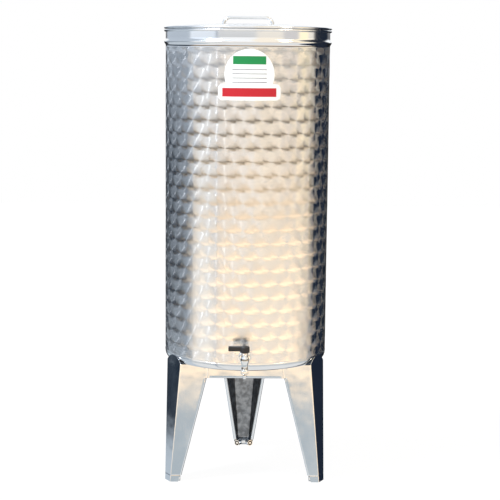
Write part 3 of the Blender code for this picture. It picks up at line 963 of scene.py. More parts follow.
@dataclass
class Barrel:
    """The wall with its bead and rolled rim, the pan, the socket and their welds.

    Attributes:
        finishes: the shared finishes.
        radius: the wall's outer radius.
        sheet: the wall's thickness.
        pan_sheet: the pan's thickness.
        pan_foot: the radius where the pan's knuckle meets its flat.
        pan_height: the knuckle's height.
        recess: radius and depth of the pan's pressed recess.
        bead_height: the bead's middle above the seam.
        bead_proud: how far the bead stands out.
        bead_width: the bead's height from foot to foot.
        rim_tube: the rolled rim's radius.
        outlet_bore: the threaded socket's bore.
        steps: the points of a ring round the barrel.
    """

    finishes: Finishes
    radius: float = 0.200
    sheet: float = 0.0010
    pan_sheet: float = 0.0012
    pan_foot: float = 0.1936
    pan_height: float = 0.015
    recess: tuple[float, float] = (0.115, 0.004)
    bead_height: float = 0.7730
    bead_proud: float = 0.00375
    bead_width: float = 0.016
    rim_tube: float = 0.0033
    outlet_bore: float = 0.0083
    steps: int = 240

    def wall_radius(self, height: np.ndarray) -> np.ndarray:
        """The wall's outer radius at a height: plain, and a raised cosine across the bead."""
        share = np.clip((height - SEAM - self.bead_height) / self.bead_width, -0.5, 0.5)
        return self.radius + self.bead_proud * 0.5 * (1 + np.cos(TAU * share))

    def unevenness(self, angle: np.ndarray, height: np.ndarray) -> np.ndarray:
        """Soft waves of the rolled sheet: three products of sines, up to 0.16 mm deep.

        Args:
            angle: angles round the axis.
            height: heights above the floor.

        Returns:
            What to add to the radius, fading to nothing at both ends of the wall.
        """
        waves = (
            np.sin(3 * angle + 0.6) * np.sin(9 * height + 0.4),
            np.sin(7 * angle + 2.1) * np.sin(17 * height + 1.9) * 0.6,
            np.sin(13 * angle + 4.4) * np.sin(6 * height + 3.0) * 0.4,
        )
        foot = np.clip((height - WALL_BOX[0].z) / 0.05, 0, 1)
        head = np.clip((1.05 - height) / 0.05, 0, 1)
        return sum(waves) * 0.00008 * foot * head

    def wall(self) -> Surface:
        """The rolled sheet as two skins, from the pan's edge up into the rolled rim.

        Returns:
            A closed sheet round the axis.
        """
        low, top = WALL_BOX[0].z, WALL_BOX[1].z + 0.0012
        bead = SEAM + self.bead_height
        half = self.bead_width / 2
        runs = (
            np.linspace(low, bead - half, 110, endpoint=False),
            np.linspace(bead - half, bead + half, 24, endpoint=False),
            np.linspace(bead + half, top, 7),
        )
        height = np.concatenate(runs)[:, None]
        angle = np.linspace(0, TAU, self.steps, endpoint=False)[None, :]
        radius = self.wall_radius(height) + self.unevenness(angle, height)
        skins = []
        for inset in (0.0, self.sheet):
            x = (radius - inset) * np.cos(angle)
            y = (radius - inset) * np.sin(angle) + AXIS_Y
            skins.append(np.stack(np.broadcast_arrays(x, y, height), -1))
        return sheet(skins[0], skins[1], columns_close=True)

    def pan(self) -> Surface:
        """The pressed bottom: a recess, a flat foot and a quarter ellipse up to the wall.

        Returns:
            A closed dish round the axis.
        """
        lean = np.linspace(0, np.pi / 2, 10)
        radius, depth = self.recess
        skins = []
        for inset in (0.0, self.pan_sheet):
            knuckle = np.stack(
                [
                    self.pan_foot + (self.radius - inset - self.pan_foot) * np.sin(lean),
                    self.pan_height - (self.pan_height - inset) * np.cos(lean),
                ],
                1,
            )
            corners = np.array(
                [[0, depth + inset], [radius, depth + inset], [radius + depth, inset], knuckle[0]]
            )
            flat = rounded(corners, np.array([0.003, 0.003]))
            skins.append(np.vstack([flat, knuckle[1:]]))
        profile = np.vstack([skins[0], skins[1][::-1]])
        return revolve(profile, self.steps).moved(0, AXIS_Y, SEAM)

    def weld_ring(self) -> Surface:
        """The ground seam weld between the pan and the wall, a flat half round.

        Returns:
            A closed ring round the axis.
        """
        lean = np.linspace(0, TAU, 12, endpoint=False)
        joint = (PAN_BOX[1].z + WALL_BOX[0].z) / 2
        oval = np.stack([np.cos(lean) * 0.0004, np.sin(lean) * 0.0014], 1) + [self.radius, 0]
        return revolve(oval, self.steps).moved(0, AXIS_Y, joint)

    def back_weld(self) -> Surface:
        """The wall's upright weld at the back: a low mound with a ripple every 2 mm.

        Returns:
            A closed strip, from the foot of the wall to its rim.
        """
        height = np.arange(WALL_BOX[0].z + 0.001, WALL_BOX[1].z - 0.001, 0.0007)[:, None]
        across = np.linspace(-1, 1, 9)[None, :]
        mound = 0.00035 * np.cos(across * np.pi / 2) * (1 + 0.25 * np.sin(height * TAU / 0.002))
        angle = np.pi / 2 - across * 0.0022 / self.radius
        skins = []
        for rise in (mound, np.full_like(mound, -0.0004)):
            radius = self.wall_radius(height) + rise
            x, y = radius * np.cos(angle), radius * np.sin(angle) + AXIS_Y
            skins.append(np.stack(np.broadcast_arrays(x, y, height), -1))
        return sheet(skins[0], skins[1])

    def socket(self) -> Surface:
        """The threaded socket, with a chamfered mouth and a fine inner thread.

        Returns:
            A closed pipe through the wall.
        """
        low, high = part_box("outlet_boss")
        outer = (high.x - low.x) / 2
        bore, chamfer = self.outlet_bore, 0.001
        length = high.y - low.y
        corners = np.array(
            [
                [bore, 0],
                [outer, 0],
                [outer, length - chamfer],
                [outer - chamfer, length],
                [bore, length],
                [bore, 0],
            ]
        )
        profile = rounded(corners, np.array([0.0003, 0.0003, 0.0003, 0.0004]))[:-1]
        return revolve(profile, 72).laid_forward().moved(0, high.y, (low.z + high.z) / 2)

    def socket_weld(self) -> Surface:
        """The weld round the socket: a ring of small round beads that follows the curved wall.

        Returns:
            A closed ring on the wall.
        """
        low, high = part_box("outlet_boss")
        ring = (high.x - low.x) / 2 + 0.0002
        angle = np.linspace(0, TAU, 144, endpoint=False)[:, None]
        lean = np.linspace(0, TAU, 12, endpoint=False)[None, :]
        tube_radius = 0.0017 * (1 + 0.10 * np.sin(angle * 30))
        out = ring + tube_radius * np.cos(lean)
        x = out * np.cos(angle)
        z = out * np.sin(angle) + (low.z + high.z) / 2
        y = AXIS_Y - np.sqrt(self.radius ** 2 - x ** 2) - tube_radius * np.sin(lean) * 0.8
        grid = np.stack(np.broadcast_arrays(x, y, z), -1)
        return grid_surface(grid, True, True)

    def build(self) -> None:
        """Make every piece of the barrel."""
        bright, turned = self.finishes.bright, self.finishes.turned
        add_piece("wall_sheet", self.wall(), turned, Body.BARREL, ("barrel_wall",))
        ring = (RIM_BOX[1].x - RIM_BOX[0].x) / 2 - self.rim_tube
        rim = torus(ring, self.rim_tube, (RIM_BOX[0].z + RIM_BOX[1].z) / 2, self.steps)
        add_piece("rim_roll", rim.moved(0, AXIS_Y), bright, Body.BARREL, ("top_rim",))
        add_piece("pan_sheet", self.pan(), bright, Body.BARREL, ("bottom_pan",))
        add_piece("pan_weld", self.weld_ring(), bright, Body.BARREL)
        add_piece("back_seam_weld", self.back_weld(), bright, Body.BARREL)
        add_piece("outlet_socket", self.socket(), bright, Body.BARREL, ("outlet_boss",))
        add_piece("socket_weld", self.socket_weld(), bright, Body.BARREL)


@dataclass
class Lid:
    """The domed lid with its rolled edge, locating skirt and rod handle.

    Attributes:
        finishes: the shared finishes.
        sheet: the lid's thickness.
        edge_tube: the rolled edge's radius.
        dome_radius: where the dome starts.
        skirt_radius: the skirt's outer radius.
        rod: the handle rod's radius.
        base: the handle's width at its feet.
        top: its width between the upper corners.
        bend: the radius of its upper corners.
        foot: the straight stretch above each foot.
        steps: the points of a ring round the lid.
    """

    finishes: Finishes
    sheet: float = 0.0010
    edge_tube: float = 0.0028
    dome_radius: float = 0.196
    skirt_radius: float = 0.192
    rod: float = 0.00375
    base: float = 0.119
    top: float = 0.108
    bend: float = 0.018
    foot: float = 0.002
    steps: int = 240
    low: float = field(init=False)
    dome_base: float = field(init=False)
    apex: float = field(init=False)

    def __post_init__(self) -> None:
        """Read the lid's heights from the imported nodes."""
        self.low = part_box("lid_edge")[0].z
        self.dome_base = self.low + 2 * self.edge_tube
        self.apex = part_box("lid_disc")[1].z

    def dome_height(self, radius: np.ndarray) -> np.ndarray:
        """Height of the outer surface: a parabola from the apex down to the dome's base."""
        rise = self.apex - self.dome_base
        return self.dome_base + rise * (1 - (radius / self.dome_radius) ** 2)

    def disc(self) -> Surface:
        """The pressed sheet, from inside the rolled edge over its shoulder to the apex.

        Returns:
            A closed sheet round the axis.
        """
        radius = np.linspace(self.dome_radius, 0, 40)
        dome = np.stack([radius, self.dome_height(radius)], 1)
        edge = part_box("lid_edge")
        ring = (edge[1].x - edge[0].x) / 2 - self.edge_tube
        start = np.array([[ring - self.edge_tube * 0.4, self.low + self.edge_tube]])
        turn = np.array([[ring - self.edge_tube * 0.5, self.dome_base - 0.0006]])
        outer = np.vstack([start, turn, dome])
        inner = outer[::-1] - [0, self.sheet]
        return revolve(np.vstack([inner, outer]), self.steps).moved(0, AXIS_Y)

    def skirt(self) -> Surface:
        """The locating ring under the lid, with a lower edge rolled slightly inwards.

        Returns:
            A closed ring round the axis.
        """
        low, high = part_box("lid_skirt")
        outer, inner = self.skirt_radius, self.skirt_radius - self.sheet
        corners = np.array(
            [
                [inner, high.z],
                [inner, low.z + 0.003],
                [inner - 0.0007, low.z],
                [outer - 0.0007, low.z],
                [outer, low.z + 0.003],
                [outer, high.z],
                [inner, high.z],
            ]
        )
        profile = rounded(corners, np.array([0.002, 0.0003, 0.0003, 0.002, 0.0003]))[:-1]
        return revolve(profile, self.steps).moved(0, AXIS_Y)

    def handle(self) -> Surface:
        """The bent rod, in the plane of the barrel's axis.

        Returns:
            A closed rod that stands on the dome.
        """
        low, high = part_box("lid_handle")
        top = high.z - self.rod
        half_base, half_top = self.base / 2, self.top / 2
        corners = np.array(
            [
                [-half_base, low.z],
                [-half_base, low.z + self.foot],
                [-half_top, top],
                [half_top, top],
                [half_base, low.z + self.foot],
                [half_base, low.z],
            ]
        )
        flat = rounded(corners, np.array([0.003, self.bend, self.bend, 0.003]), 10)
        path = np.stack([flat[:, 0], np.full(len(flat), AXIS_Y), flat[:, 1]], 1)
        return tube(path, self.rod, 24, np.array([0.0, 1.0, 0.0]))

    def build(self) -> None:
        """Make every piece of the lid."""
        bright = self.finishes.bright
        add_piece("lid_sheet", self.disc(), bright, Body.LID, ("lid_disc",))
        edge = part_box("lid_edge")
        ring = (edge[1].x - edge[0].x) / 2 - self.edge_tube
        roll = torus(ring, self.edge_tube, self.low + self.edge_tube, self.steps).moved(0, AXIS_Y)
        add_piece("lid_roll", roll, bright, Body.LID, ("lid_edge",))
        add_piece("lid_locating_ring", self.skirt(), bright, Body.LID, ("lid_skirt",))
        add_piece("lid_rod_handle", self.handle(), bright, Body.LID, ("lid_handle",))
        mound = lens(self.rod * 1.7, 0.0016, 0.0006)
        half = self.base / 2
        height = self.dome_height(np.array(half))
        welds = mound.moved(-half, AXIS_Y, height) + mound.moved(half, AXIS_Y, height)
        add_piece("handle_welds", welds, bright, Body.LID)


@dataclass
class Tap:
    """The tap's fixed pieces and its turning lever.

    Attributes:
        finishes: the shared finishes.
        flats: the nut's width across its flats.
        bore: the nut's bore.
        spout: the bore of the spout, its collar and its nozzle.
        stem_bore: the bonnet's bore.
        steps: the points of a ring.
    """

    finishes: Finishes
    flats: float = 0.024
    bore: float = 0.0083
    spout: float = 0.0036
    stem_bore: float = 0.0034
    steps: int = 96
    axis_y: float = field(init=False)
    inlet_z: float = field(init=False)

    def __post_init__(self) -> None:
        """Read the tap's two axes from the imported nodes."""
        low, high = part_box("tap_nozzle")
        self.axis_y = (low.y + high.y) / 2
        low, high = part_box("outlet_boss")
        self.inlet_z = (low.z + high.z) / 2

    def upright(self, corners: list, radius: list, steps: int = 5) -> Surface:
        """A turned piece on the tap's upright axis, from its profile's corners.

        Args:
            corners: points of (radius, height).
            radius: each inner corner's radius.
            steps: the points of each rounded corner.

        Returns:
            A closed surface.
        """
        profile = rounded(np.array(corners), np.array(radius), steps)
        if abs(profile[0] - profile[-1]).max() < MERGE:
            profile = profile[:-1]
        return revolve(profile, self.steps).moved(0, self.axis_y)

    def nut(self) -> Surface:
        """The hexagon nut: at each angle the radius is the smaller of the hexagon's and the
        chamfer cone's.

        Returns:
            A closed nut round the inlet.
        """
        low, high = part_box("tap_nut")
        length, half = high.y - low.y, self.flats / 2
        angle = np.linspace(0, TAU, 180, endpoint=False)[None, :]
        hexagon = half / np.cos((angle + np.pi / 6) % (np.pi / 3) - np.pi / 6)
        cut = 0.0011
        rows = np.array(
            [
                [self.bore, 0],
                [half * 0.97, 0],
                [half * 1.02, cut * 0.25],
                [half * 1.10, cut * 0.7],
                [half * 1.17, cut],
                [half * 1.17, length - cut],
                [half * 1.10, length - cut * 0.7],
                [half * 1.02, length - cut * 0.25],
                [half * 0.97, length],
                [self.bore, length],
            ]
        )
        radius = np.minimum(hexagon, rows[:, :1])
        nut = ring_grid(radius, rows[:, 1:], angle)
        return nut.laid_forward().moved(0, high.y, self.inlet_z)

    def tailpiece(self) -> Surface:
        """The threaded tail: its radius waves by a quarter of a millimetre each 1.8 mm.

        Returns:
            A closed rod along the inlet's axis.
        """
        low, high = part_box("tap_tailpiece")
        length, outer = high.y - low.y, (high.x - low.x) / 2
        depth, pitch = 0.00025, 0.0018
        along = np.linspace(0, length, 90)
        ridge = outer - depth * (1 - np.cos(along * TAU / pitch)) / 2
        body = np.stack([ridge, along], 1)
        profile = np.vstack([[[0, 0]], body, [[0, length]]])
        return revolve(profile, self.steps).laid_forward().moved(0, high.y, self.inlet_z)

    def body(self) -> Surface:
        """The cast body: a waisted barrel on the upright axis, with a drilled spout.

        Returns:
            A closed surface.
        """
        low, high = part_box("tap_body")
        foot, top, level = low.z, high.z, self.inlet_z
        bore, depth = self.spout, 0.010
        corners = [
            [0, foot + depth],
            [bore, foot + depth],
            [bore, foot],
            [0.0074, foot],
            [0.0082, foot + 0.0012],
            [0.0075, foot + 0.006],
            [0.0079, level - 0.009],
            [0.0097, level - 0.0045],
            [0.0104, level],
            [0.0098, level + 0.006],
            [0.0084, level + 0.0085],
            [0.0080, top - 0.0004],
            [0.0076, top],
            [0, top],
        ]
        mouth, waist, head = [0.0003, 0.0003, 0.0004, 0.0006], [0.004, 0.004], [0.0004, 0.0003]
        return self.upright(corners, mouth + waist + [0.002] + waist + [0.002] + head)

    def inlet(self) -> Surface:
        """The cast inlet: a short pipe with a collar, from the tailpiece into the body.

        Returns:
            A closed surface along the inlet's axis.
        """
        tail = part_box("tap_tailpiece")[0].y
        length = tail - self.axis_y
        corners = np.array(
            [
                [0, 0],
                [0.0085, 0],
                [0.0085, 0.004],
                [0.0072, 0.0055],
                [0.0072, length - 0.012],
                [0.0088, length - 0.008],
                [0.0088, length],
                [0, length],
            ]
        )
        profile = rounded(corners, np.array([0.0005, 0.0006, 0.001, 0.003, 0.002, 0.0005]))
        return revolve(profile, self.steps).laid_forward().moved(0, tail - 0.0003, self.inlet_z)

    def collar(self) -> Surface:
        """The knurled collar: 36 ridges round its middle, each a raised cosine.

        Returns:
            A closed ring.
        """
        low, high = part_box("tap_collar")
        outer, bore, ridges = (high.x - low.x) / 2, self.spout, 36
        angle = np.linspace(0, TAU, 8 * ridges, endpoint=False)[None, :]
        knurl = 0.0005 * (1 - np.cos(angle * ridges)) / 2
        edge = 0.0009
        rows = np.array(
            [
                [bore, low.z, 0],
                [outer - 0.0012, low.z, 0],
                [outer - 0.0004, low.z + edge * 0.5, 0],
                [outer, low.z + edge, 0.2],
                [outer, low.z + edge * 1.6, 1],
                [outer, high.z - edge * 1.6, 1],
                [outer, high.z - edge, 0.2],
                [outer - 0.0004, high.z - edge * 0.5, 0],
                [outer - 0.0012, high.z, 0],
                [bore, high.z, 0],
            ]
        )
        radius = rows[:, :1] - knurl * rows[:, 2:]
        return ring_grid(radius, rows[:, 1:2], angle).moved(0, self.axis_y)

    def nozzle(self) -> Surface:
        """The hose nozzle: two barbs on a thin pipe.

        Returns:
            A closed pipe.
        """
        low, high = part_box("tap_nozzle")
        outer, bore = (high.x - low.x) / 2, self.spout
        neck, barb = outer - 0.0007, (high.z - low.z) / 3
        corners = [[bore, high.z], [bore, low.z], [outer - 0.0008, low.z]]
        for level in (low.z + barb, low.z + 2 * barb):
            corners += [[outer, level], [neck, level + 0.0004]]
        corners += [[neck, high.z], [bore, high.z]]
        return self.upright(corners, [0.0002, 0.0002, 0.0002, 0.0001, 0.0002, 0.0001, 0.0002])

    def bonnet(self) -> Surface:
        """The bonnet ring on top of the body, with a groove round its middle.

        Returns:
            A closed ring.
        """
        low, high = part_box("tap_bonnet")
        outer, bore = (high.x - low.x) / 2, self.stem_bore
        middle = (low.z + high.z) / 2
        corners = [[bore, high.z], [bore, low.z], [outer - 0.0004, low.z], [outer, low.z + 0.0005]]
        corners += [[outer, middle - 0.0005], [outer - 0.0005, middle], [outer, middle + 0.0005]]
        corners += [[outer, high.z - 0.0005], [outer - 0.0004, high.z], [bore, high.z]]
        return self.upright(corners, [0.0002, 0.0001, 0.0002, 0.0002, 0.0002, 0.0002, 0.0001, 0.0002])

    def stem(self) -> Surface:
        """The turned stem under the lever.

        Returns:
            A closed rod.
        """
        low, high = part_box("tap_stem")
        outer, chamfer = (high.x - low.x) / 2, 0.0003
        corners = [[0, low.z], [outer, low.z], [outer, high.z - chamfer]]
        corners += [[outer - chamfer, high.z], [0, high.z]]
        return self.upright(corners, [0.0001, 0.0001, 0.0001])

    def lever_arm(self) -> Surface:
        """The moulded arm: a superellipse of power 9 carried along X.

        A ring's width and height follow the cosine and sine, each to the power 2/9. The rings
        shrink over the last millimetres along a rounded end, and hide in the hub at the start.

        Returns:
            A closed surface that starts inside the hub.
        """
        low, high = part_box("tap_lever")
        end, start = low.x, -0.004
        bottom, top = low.z + 0.0033, high.z - 0.0004
        share = np.linspace(0, 1, 28)[:, None]
        tip = 0.0022
        along = np.where(share < 0.6, share / 0.6 * 0.93, 0.93 + (share - 0.6) / 0.4 * 0.07)
        x = start + (end - start) * along
        near = np.clip((x - end) / tip, 0, 1)
        shrink = (0.8 + 0.2 * (1 - (1 - near) ** 2) ** 0.5) * (near > 0)
        sides, power = 48, 2 / 9
        angle = np.linspace(0, TAU, sides, endpoint=False)[None, :]
        cos, sin = np.cos(angle), np.sin(angle)
        wide = np.sign(cos) * abs(cos) ** power
        tall = np.sign(sin) * abs(sin) ** power
        half_width = 0.0070 - 0.0004 * along
        half_height = (top - bottom) / 2
        y = self.axis_y + wide * half_width * shrink
        z = (top + bottom) / 2 + tall * half_height * shrink
        grid = np.stack(np.broadcast_arrays(x, y, z), -1)
        first = grid[:1].mean(1, keepdims=True).repeat(sides, 1)
        last = grid[-1:].mean(1, keepdims=True).repeat(sides, 1)
        return grid_surface(np.concatenate([first, grid, last]), False, True)

    def lever_hub(self) -> Surface:
        """The lever's round hub, with a rounded shoulder.

        Returns:
            A closed surface.
        """
        low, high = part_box("tap_lever")
        outer = high.x
        corners = [
            [0, low.z],
            [outer - 0.0008, low.z],
            [outer, low.z + 0.0010],
            [outer, high.z - 0.0022],
            [outer - 0.0020, high.z],
            [0, high.z],
        ]
        return self.upright(corners, [0.0004, 0.0006, 0.0012, 0.0012])

    def cap(self) -> Surface:
        """The cap over the lever's screw, slightly crowned.

        Returns:
            A closed disc.
        """
        low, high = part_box("lever_cap")
        outer = (high.x - low.x) / 2
        corners = [
            [0, low.z],
            [outer, low.z],
            [outer, high.z - 0.0007],
            [outer - 0.0012, high.z - 0.0001],
            [0, high.z],
        ]
        return self.upright(corners, [0.0002, 0.0005, 0.0012])

    def build(self) -> None:
        """Make every piece of the tap, then dress the gasket's own node."""
        plated, black = self.finishes.plated, self.finishes.black
        fixed = (
            ("hexagon_nut", self.nut(), "tap_nut"),
            ("threaded_tail", self.tailpiece(), "tap_tailpiece"),
            ("cast_body", self.body() + self.inlet(), "tap_body"),
            ("knurled_collar", self.collar(), "tap_collar"),
            ("hose_nozzle", self.nozzle(), "tap_nozzle"),
            ("bonnet_ring", self.bonnet(), "tap_bonnet"),
        )
        for name, surface, node in fixed:
            add_piece(name, surface, plated, Body.BARREL, (node,))
        add_piece("turned_stem", self.stem(), plated, Body.LEVER, ("tap_stem",))
        lever = self.lever_hub() + self.lever_arm()
        add_piece("moulded_lever", lever, black, Body.LEVER, ("tap_lever",))
        add_piece("screw_cap", self.cap(), black, Body.LEVER, ("lever_cap",))
        dress_nodes(("tap_gasket",), self.finishes.seal)


@dataclass
class Stand:
    """Three folded legs with hemmed feet, and the aprons between them.

    Each leg is made facing -Y and then turned to its place. The front apron is made in place
    and turned for the other two.

    Attributes:
        finishes: the shared finishes.
        height: from the floor to the barrel's seat.
        sheet: the legs' and aprons' thickness.
        apothem: distance from the axis to a leg's middle face, at its foot and its top.
        width: a leg's middle face, at its foot and its top.
        flange: a flange's width, at its foot and at the aprons' lower edge.
        apron_height: the aprons' height.
        fold: the angle each flange is folded back by.
        bend: the outer radius of a fold.
        curl: the radius of a flange's rolled free edge.
        curl_sweep: how far round that edge is rolled.
        curl_foot: where the curl stops above the floor.
        lip: how far a leg's middle face arches up beside the barrel, and the arch's power.
        hem: depth and height of the aprons' folded hem.
        notch: how far a hem stops short of the joggle.
        joggle: the width of the step behind the flange.
        tab: the length of the tab behind the flange.
        gap: the clearance between sheets.
        spread: how far round from the front the front legs stand.
        turn: how far the whole stand is turned under the barrel.
        roll: a foot hem's outer radius, the radius inside its first turn and that of its core.
        roll_lean: the hem's extra clearance behind the leaning sheet.
        roll_reach: the hem's length along a flange.
    """

    finishes: Finishes
    height: float = 0.2970
    sheet: float = 0.0015
    apothem: tuple[float, float] = (0.2192, 0.2023)
    width: tuple[float, float] = (0.0270, 0.0686)
    flange: tuple[float, float] = (0.024, 0.067)
    apron_height: float = 0.034
    fold: float = math.radians(60)
    bend: float = 0.0032
    curl: float = 0.0042
    curl_sweep: float = math.radians(262)
    curl_foot: float = 0.0168
    lip: tuple[float, float] = (0.0168, 2.5)
    hem: tuple[float, float] = (0.0036, 0.008)
    notch: float = 0.004
    joggle: float = 0.0022
    tab: float = 0.016
    gap: float = 0.0003
    spread: float = math.radians(60)
    turn: float = math.radians(0.8)
    roll: tuple[float, float, float] = (0.0076, 0.0062, 0.0028)
    roll_lean: float = 0.0005
    roll_reach: float = 0.0235

    def shares(self, height: np.ndarray) -> tuple[np.ndarray, np.ndarray, np.ndarray]:
        """A leg's straight tapers.

        Args:
            height: heights above the floor.

        Returns:
            The apothem, half the middle face's width and the flange's width at each height.
        """
        share = height / self.height
        apothem = self.apothem[0] + (self.apothem[1] - self.apothem[0]) * share
        half = (self.width[0] + (self.width[1] - self.width[0]) * share) / 2
        flange_share = np.minimum(height / (self.height - self.apron_height), 1)
        flange = self.flange[0] + (self.flange[1] - self.flange[0]) * flange_share
        return apothem, half, flange

    def half_section(self, height: np.ndarray, curled: np.ndarray, inset: float) -> np.ndarray:
        """The right half of a leg's section at many heights.

        From the middle it runs straight to the fold, round the fold's arc, straight along the
        flange, and round the curl. An inset skin keeps each arc's centre and loses its radius.

        Args:
            height: (rows, 1) heights.
            curled: (rows, 1) share of the curl that is rolled at each height.
            inset: how far inside the outer skin the section lies.

        Returns:
            A (rows, columns, 2) array in plan, for a leg that faces -Y from the origin.
        """
        apothem, half, flange = self.shares(height)
        reach = self.bend * math.tan(self.fold / 2)
        radius = self.bend - inset
        middle = np.linspace(0, 1, 14)[None, :-1] * (half - reach)
        face = np.stack(np.broadcast_arrays(middle, -(apothem - inset)), -1)
        lean = np.linspace(0, self.fold, 8)[None, :]
        arc_x = half - reach + radius * np.sin(lean)
        arc_y = -(apothem - self.bend) - radius * np.cos(lean)
        arc = np.stack([arc_x, arc_y], -1)
        along = np.array([math.cos(self.fold), math.sin(self.fold)])
        outward = np.array([along[1], -along[0]])
        flat = flange - self.curl - reach
        run = np.linspace(0, 1, 14)[None, 1:, None] * flat[..., None]
        side = arc[:, -1:] + run * along
        turn = np.linspace(0, 1, 19)[None, 1:, None] * (self.curl_sweep * curled)[..., None]
        centre = side[:, -1:] - outward * (self.curl - inset)
        rolled = centre + (outward * np.cos(turn) + along * np.sin(turn)) * (self.curl - inset)
        return np.concatenate([face, arc, side, rolled], 1)

    def skin(self, height: np.ndarray, curled: np.ndarray, inset: float) -> np.ndarray:
        """One whole skin of a leg: the half section, its mirror image and the lip's rise.

        The lip rises by one minus a power of the distance from the face's middle, as a share of
        half its width. A faint dent runs round the foot at the height where the hem ends.

        Args:
            height: (rows, 1) heights.
            curled: (rows, 1) share of the curl that is rolled.
            inset: how far inside the outer skin it lies.

        Returns:
            A (rows, columns, 3) array, for a leg that faces -Y from the origin.
        """
        half = self.half_section(height, curled, inset)
        left = half[:, :0:-1] * [-1, 1]
        plan = np.concatenate([left, half], 1)
        rise, power = self.lip
        aside = np.clip(abs(plan[..., 0]) / self.shares(height)[1], 0, 1)
        lift = (rise + self.gap) * (1 - aside ** power) - self.gap
        last = np.clip((height - self.height * 0.97) / (self.height * 0.03), 0, 1)
        z = height + lift * last
        dent = 0.0004 * np.exp(-(((height - self.curl_foot) / 0.0008) ** 2))
        plan = plan * (1 - dent[..., None] / self.apothem[0])
        return np.concatenate([plan, z[..., None]], -1)

    def leg(self) -> Surface:
        """One leg that faces -Y: two skins of its folded sheet.

        Returns:
            A closed sheet, whose second half of points is its inner skin.
        """
        curl_top = self.height - self.apron_height - 0.0012
        rows = np.concatenate(
            [
                np.linspace(0, 0.0125, 3, endpoint=False),
                np.linspace(0.0140, 0.0195, 12),
                np.linspace(0.022, curl_top, 22),
                [curl_top + 0.0005],
                np.linspace(curl_top + 0.004, self.height * 0.97, 5),
                np.linspace(self.height * 0.978, self.height, 4),
            ]
        )[:, None]
        curled = ((rows <= curl_top) & (rows > self.curl_foot)) * 1.0
        return sheet(self.skin(rows, curled, 0.0), self.skin(rows, curled, self.sheet))

    def hem_pipe(self, radius: float, reach: float) -> np.ndarray:
        """Rings of a pipe that runs inside the foot, along both flanges and the middle face.

        A ring's point lies behind the sheet by the pipe's depth and the radius times the cosine
        of its angle, which also moves the mitred folds. Its height follows the sine.

        Args:
            radius: the pipe's radius.
            reach: how far it runs along each flange.

        Returns:
            A (stations, columns, 3) array from the left end to the right one.
        """
        outer = self.roll[0]
        apothem, half, _ = self.shares(np.array(2 * outer))
        angle = np.linspace(0, TAU, 24, endpoint=False)
        inset = self.sheet + self.gap + self.roll_lean + outer + radius * np.cos(angle)
        slope = math.tan(self.fold / 2)
        along = np.array([math.cos(self.fold), math.sin(self.fold)])
        fold = np.stack([half - inset * slope, inset - apothem], -1)
        share = np.array([0.0, 0.08, 0.5, 1.0])[:, None, None]
        run = fold + share * (reach - inset * slope)[:, None] * along
        plan = np.concatenate([run[::-1] * [-1, 1], run])
        z = outer + self.gap + radius * np.sin(angle)
        return np.concatenate([plan, np.broadcast_to(z[:, None], plan.shape[:2] + (1,))], -1)

    def foot_hem(self) -> Surface:
        """The foot's rolled hem: one open turn of sheet, and the core of the roll inside it.

        Returns:
            The two closed surfaces as one mesh.
        """
        first, inside, core = self.roll
        outer = self.hem_pipe(first, self.roll_reach).transpose(1, 0, 2)
        inner = self.hem_pipe(inside, self.roll_reach).transpose(1, 0, 2)
        turn = closed_pipe(outer, inner)
        middle = self.hem_pipe(core, self.roll_reach - 0.0006)
        ends = middle.mean(1, keepdims=True).repeat(middle.shape[1], 1)
        core_grid = np.concatenate([ends[:1], middle, ends[-1:]])
        return turn + grid_surface(core_grid, False, True)

    def apron_edge(self, height: np.ndarray) -> tuple[np.ndarray, np.ndarray]:
        """Where the front apron meets a front flange.

        Args:
            height: heights above the floor.

        Returns:
            The distance of the flange's free edge from the middle, and of the face from the axis.
        """
        apothem, half, flange = self.shares(height)
        fold_x = apothem * math.sin(self.spread) - half * math.cos(self.spread)
        face = apothem * math.cos(self.spread) + half * math.sin(self.spread)
        return fold_x - flange - self.gap, face

    def apron_face(self) -> Surface:
        """The front apron's face with its hem: a J-shaped profile carried from side to side.

        The profile runs down the face, half round the fold and up behind it. Each point's place
        from side to side is a share of the width at its height.

        Returns:
            A closed sheet in its place.
        """
        top, foot = self.height - self.gap, self.height - self.apron_height
        depth, rise = self.hem
        radius = depth / 2
        share = np.linspace(1, -1, 25)[None, :]
        skins = []
        for inset in (0.0, self.sheet):
            size = radius - inset
            down = np.linspace(top, foot + radius, 8)
            lean = np.linspace(0, np.pi, 12)[1:]
            z = np.concatenate([down, foot + radius - size * np.sin(lean), [foot + rise]])[:, None]
            bent = radius - size * np.cos(lean)
            back = np.concatenate([np.full(8, inset), bent, [depth - inset]])[:, None]
            edge, face = self.apron_edge(z)
            x = (edge - self.joggle - self.notch) * share
            skins.append(np.stack(np.broadcast_arrays(x, AXIS_Y - face + back, z), -1))
        return sheet(skins[0], skins[1])

    def apron_end(self, side: float) -> Surface:
        """A joggled tab: the face's sheet steps back behind the flange along a smooth step.

        Args:
            side: one for the right end, minus one for the left end.

        Returns:
            A closed sheet in its place.
        """
        top, foot = self.height - self.gap, self.height - self.apron_height
        rows = np.linspace(foot, top, 6)[:, None]
        edge, face = self.apron_edge(rows)
        run = np.linspace(0, 1, 22)[None, :]
        reach = self.notch + self.joggle + self.tab
        x = edge - self.joggle - self.notch + run * reach
        step = np.clip((x - edge + self.joggle) / self.joggle, 0, 1)
        back = (self.sheet + self.gap) * step * step * (3 - 2 * step)
        skins = []
        for inset in (0.0, self.sheet):
            y = AXIS_Y - face + back + inset
            skins.append(np.stack(np.broadcast_arrays(x * side, y, rows), -1))
        if side < 0:
            skins = [skin[:, ::-1] for skin in skins]
        return sheet(skins[0], skins[1])

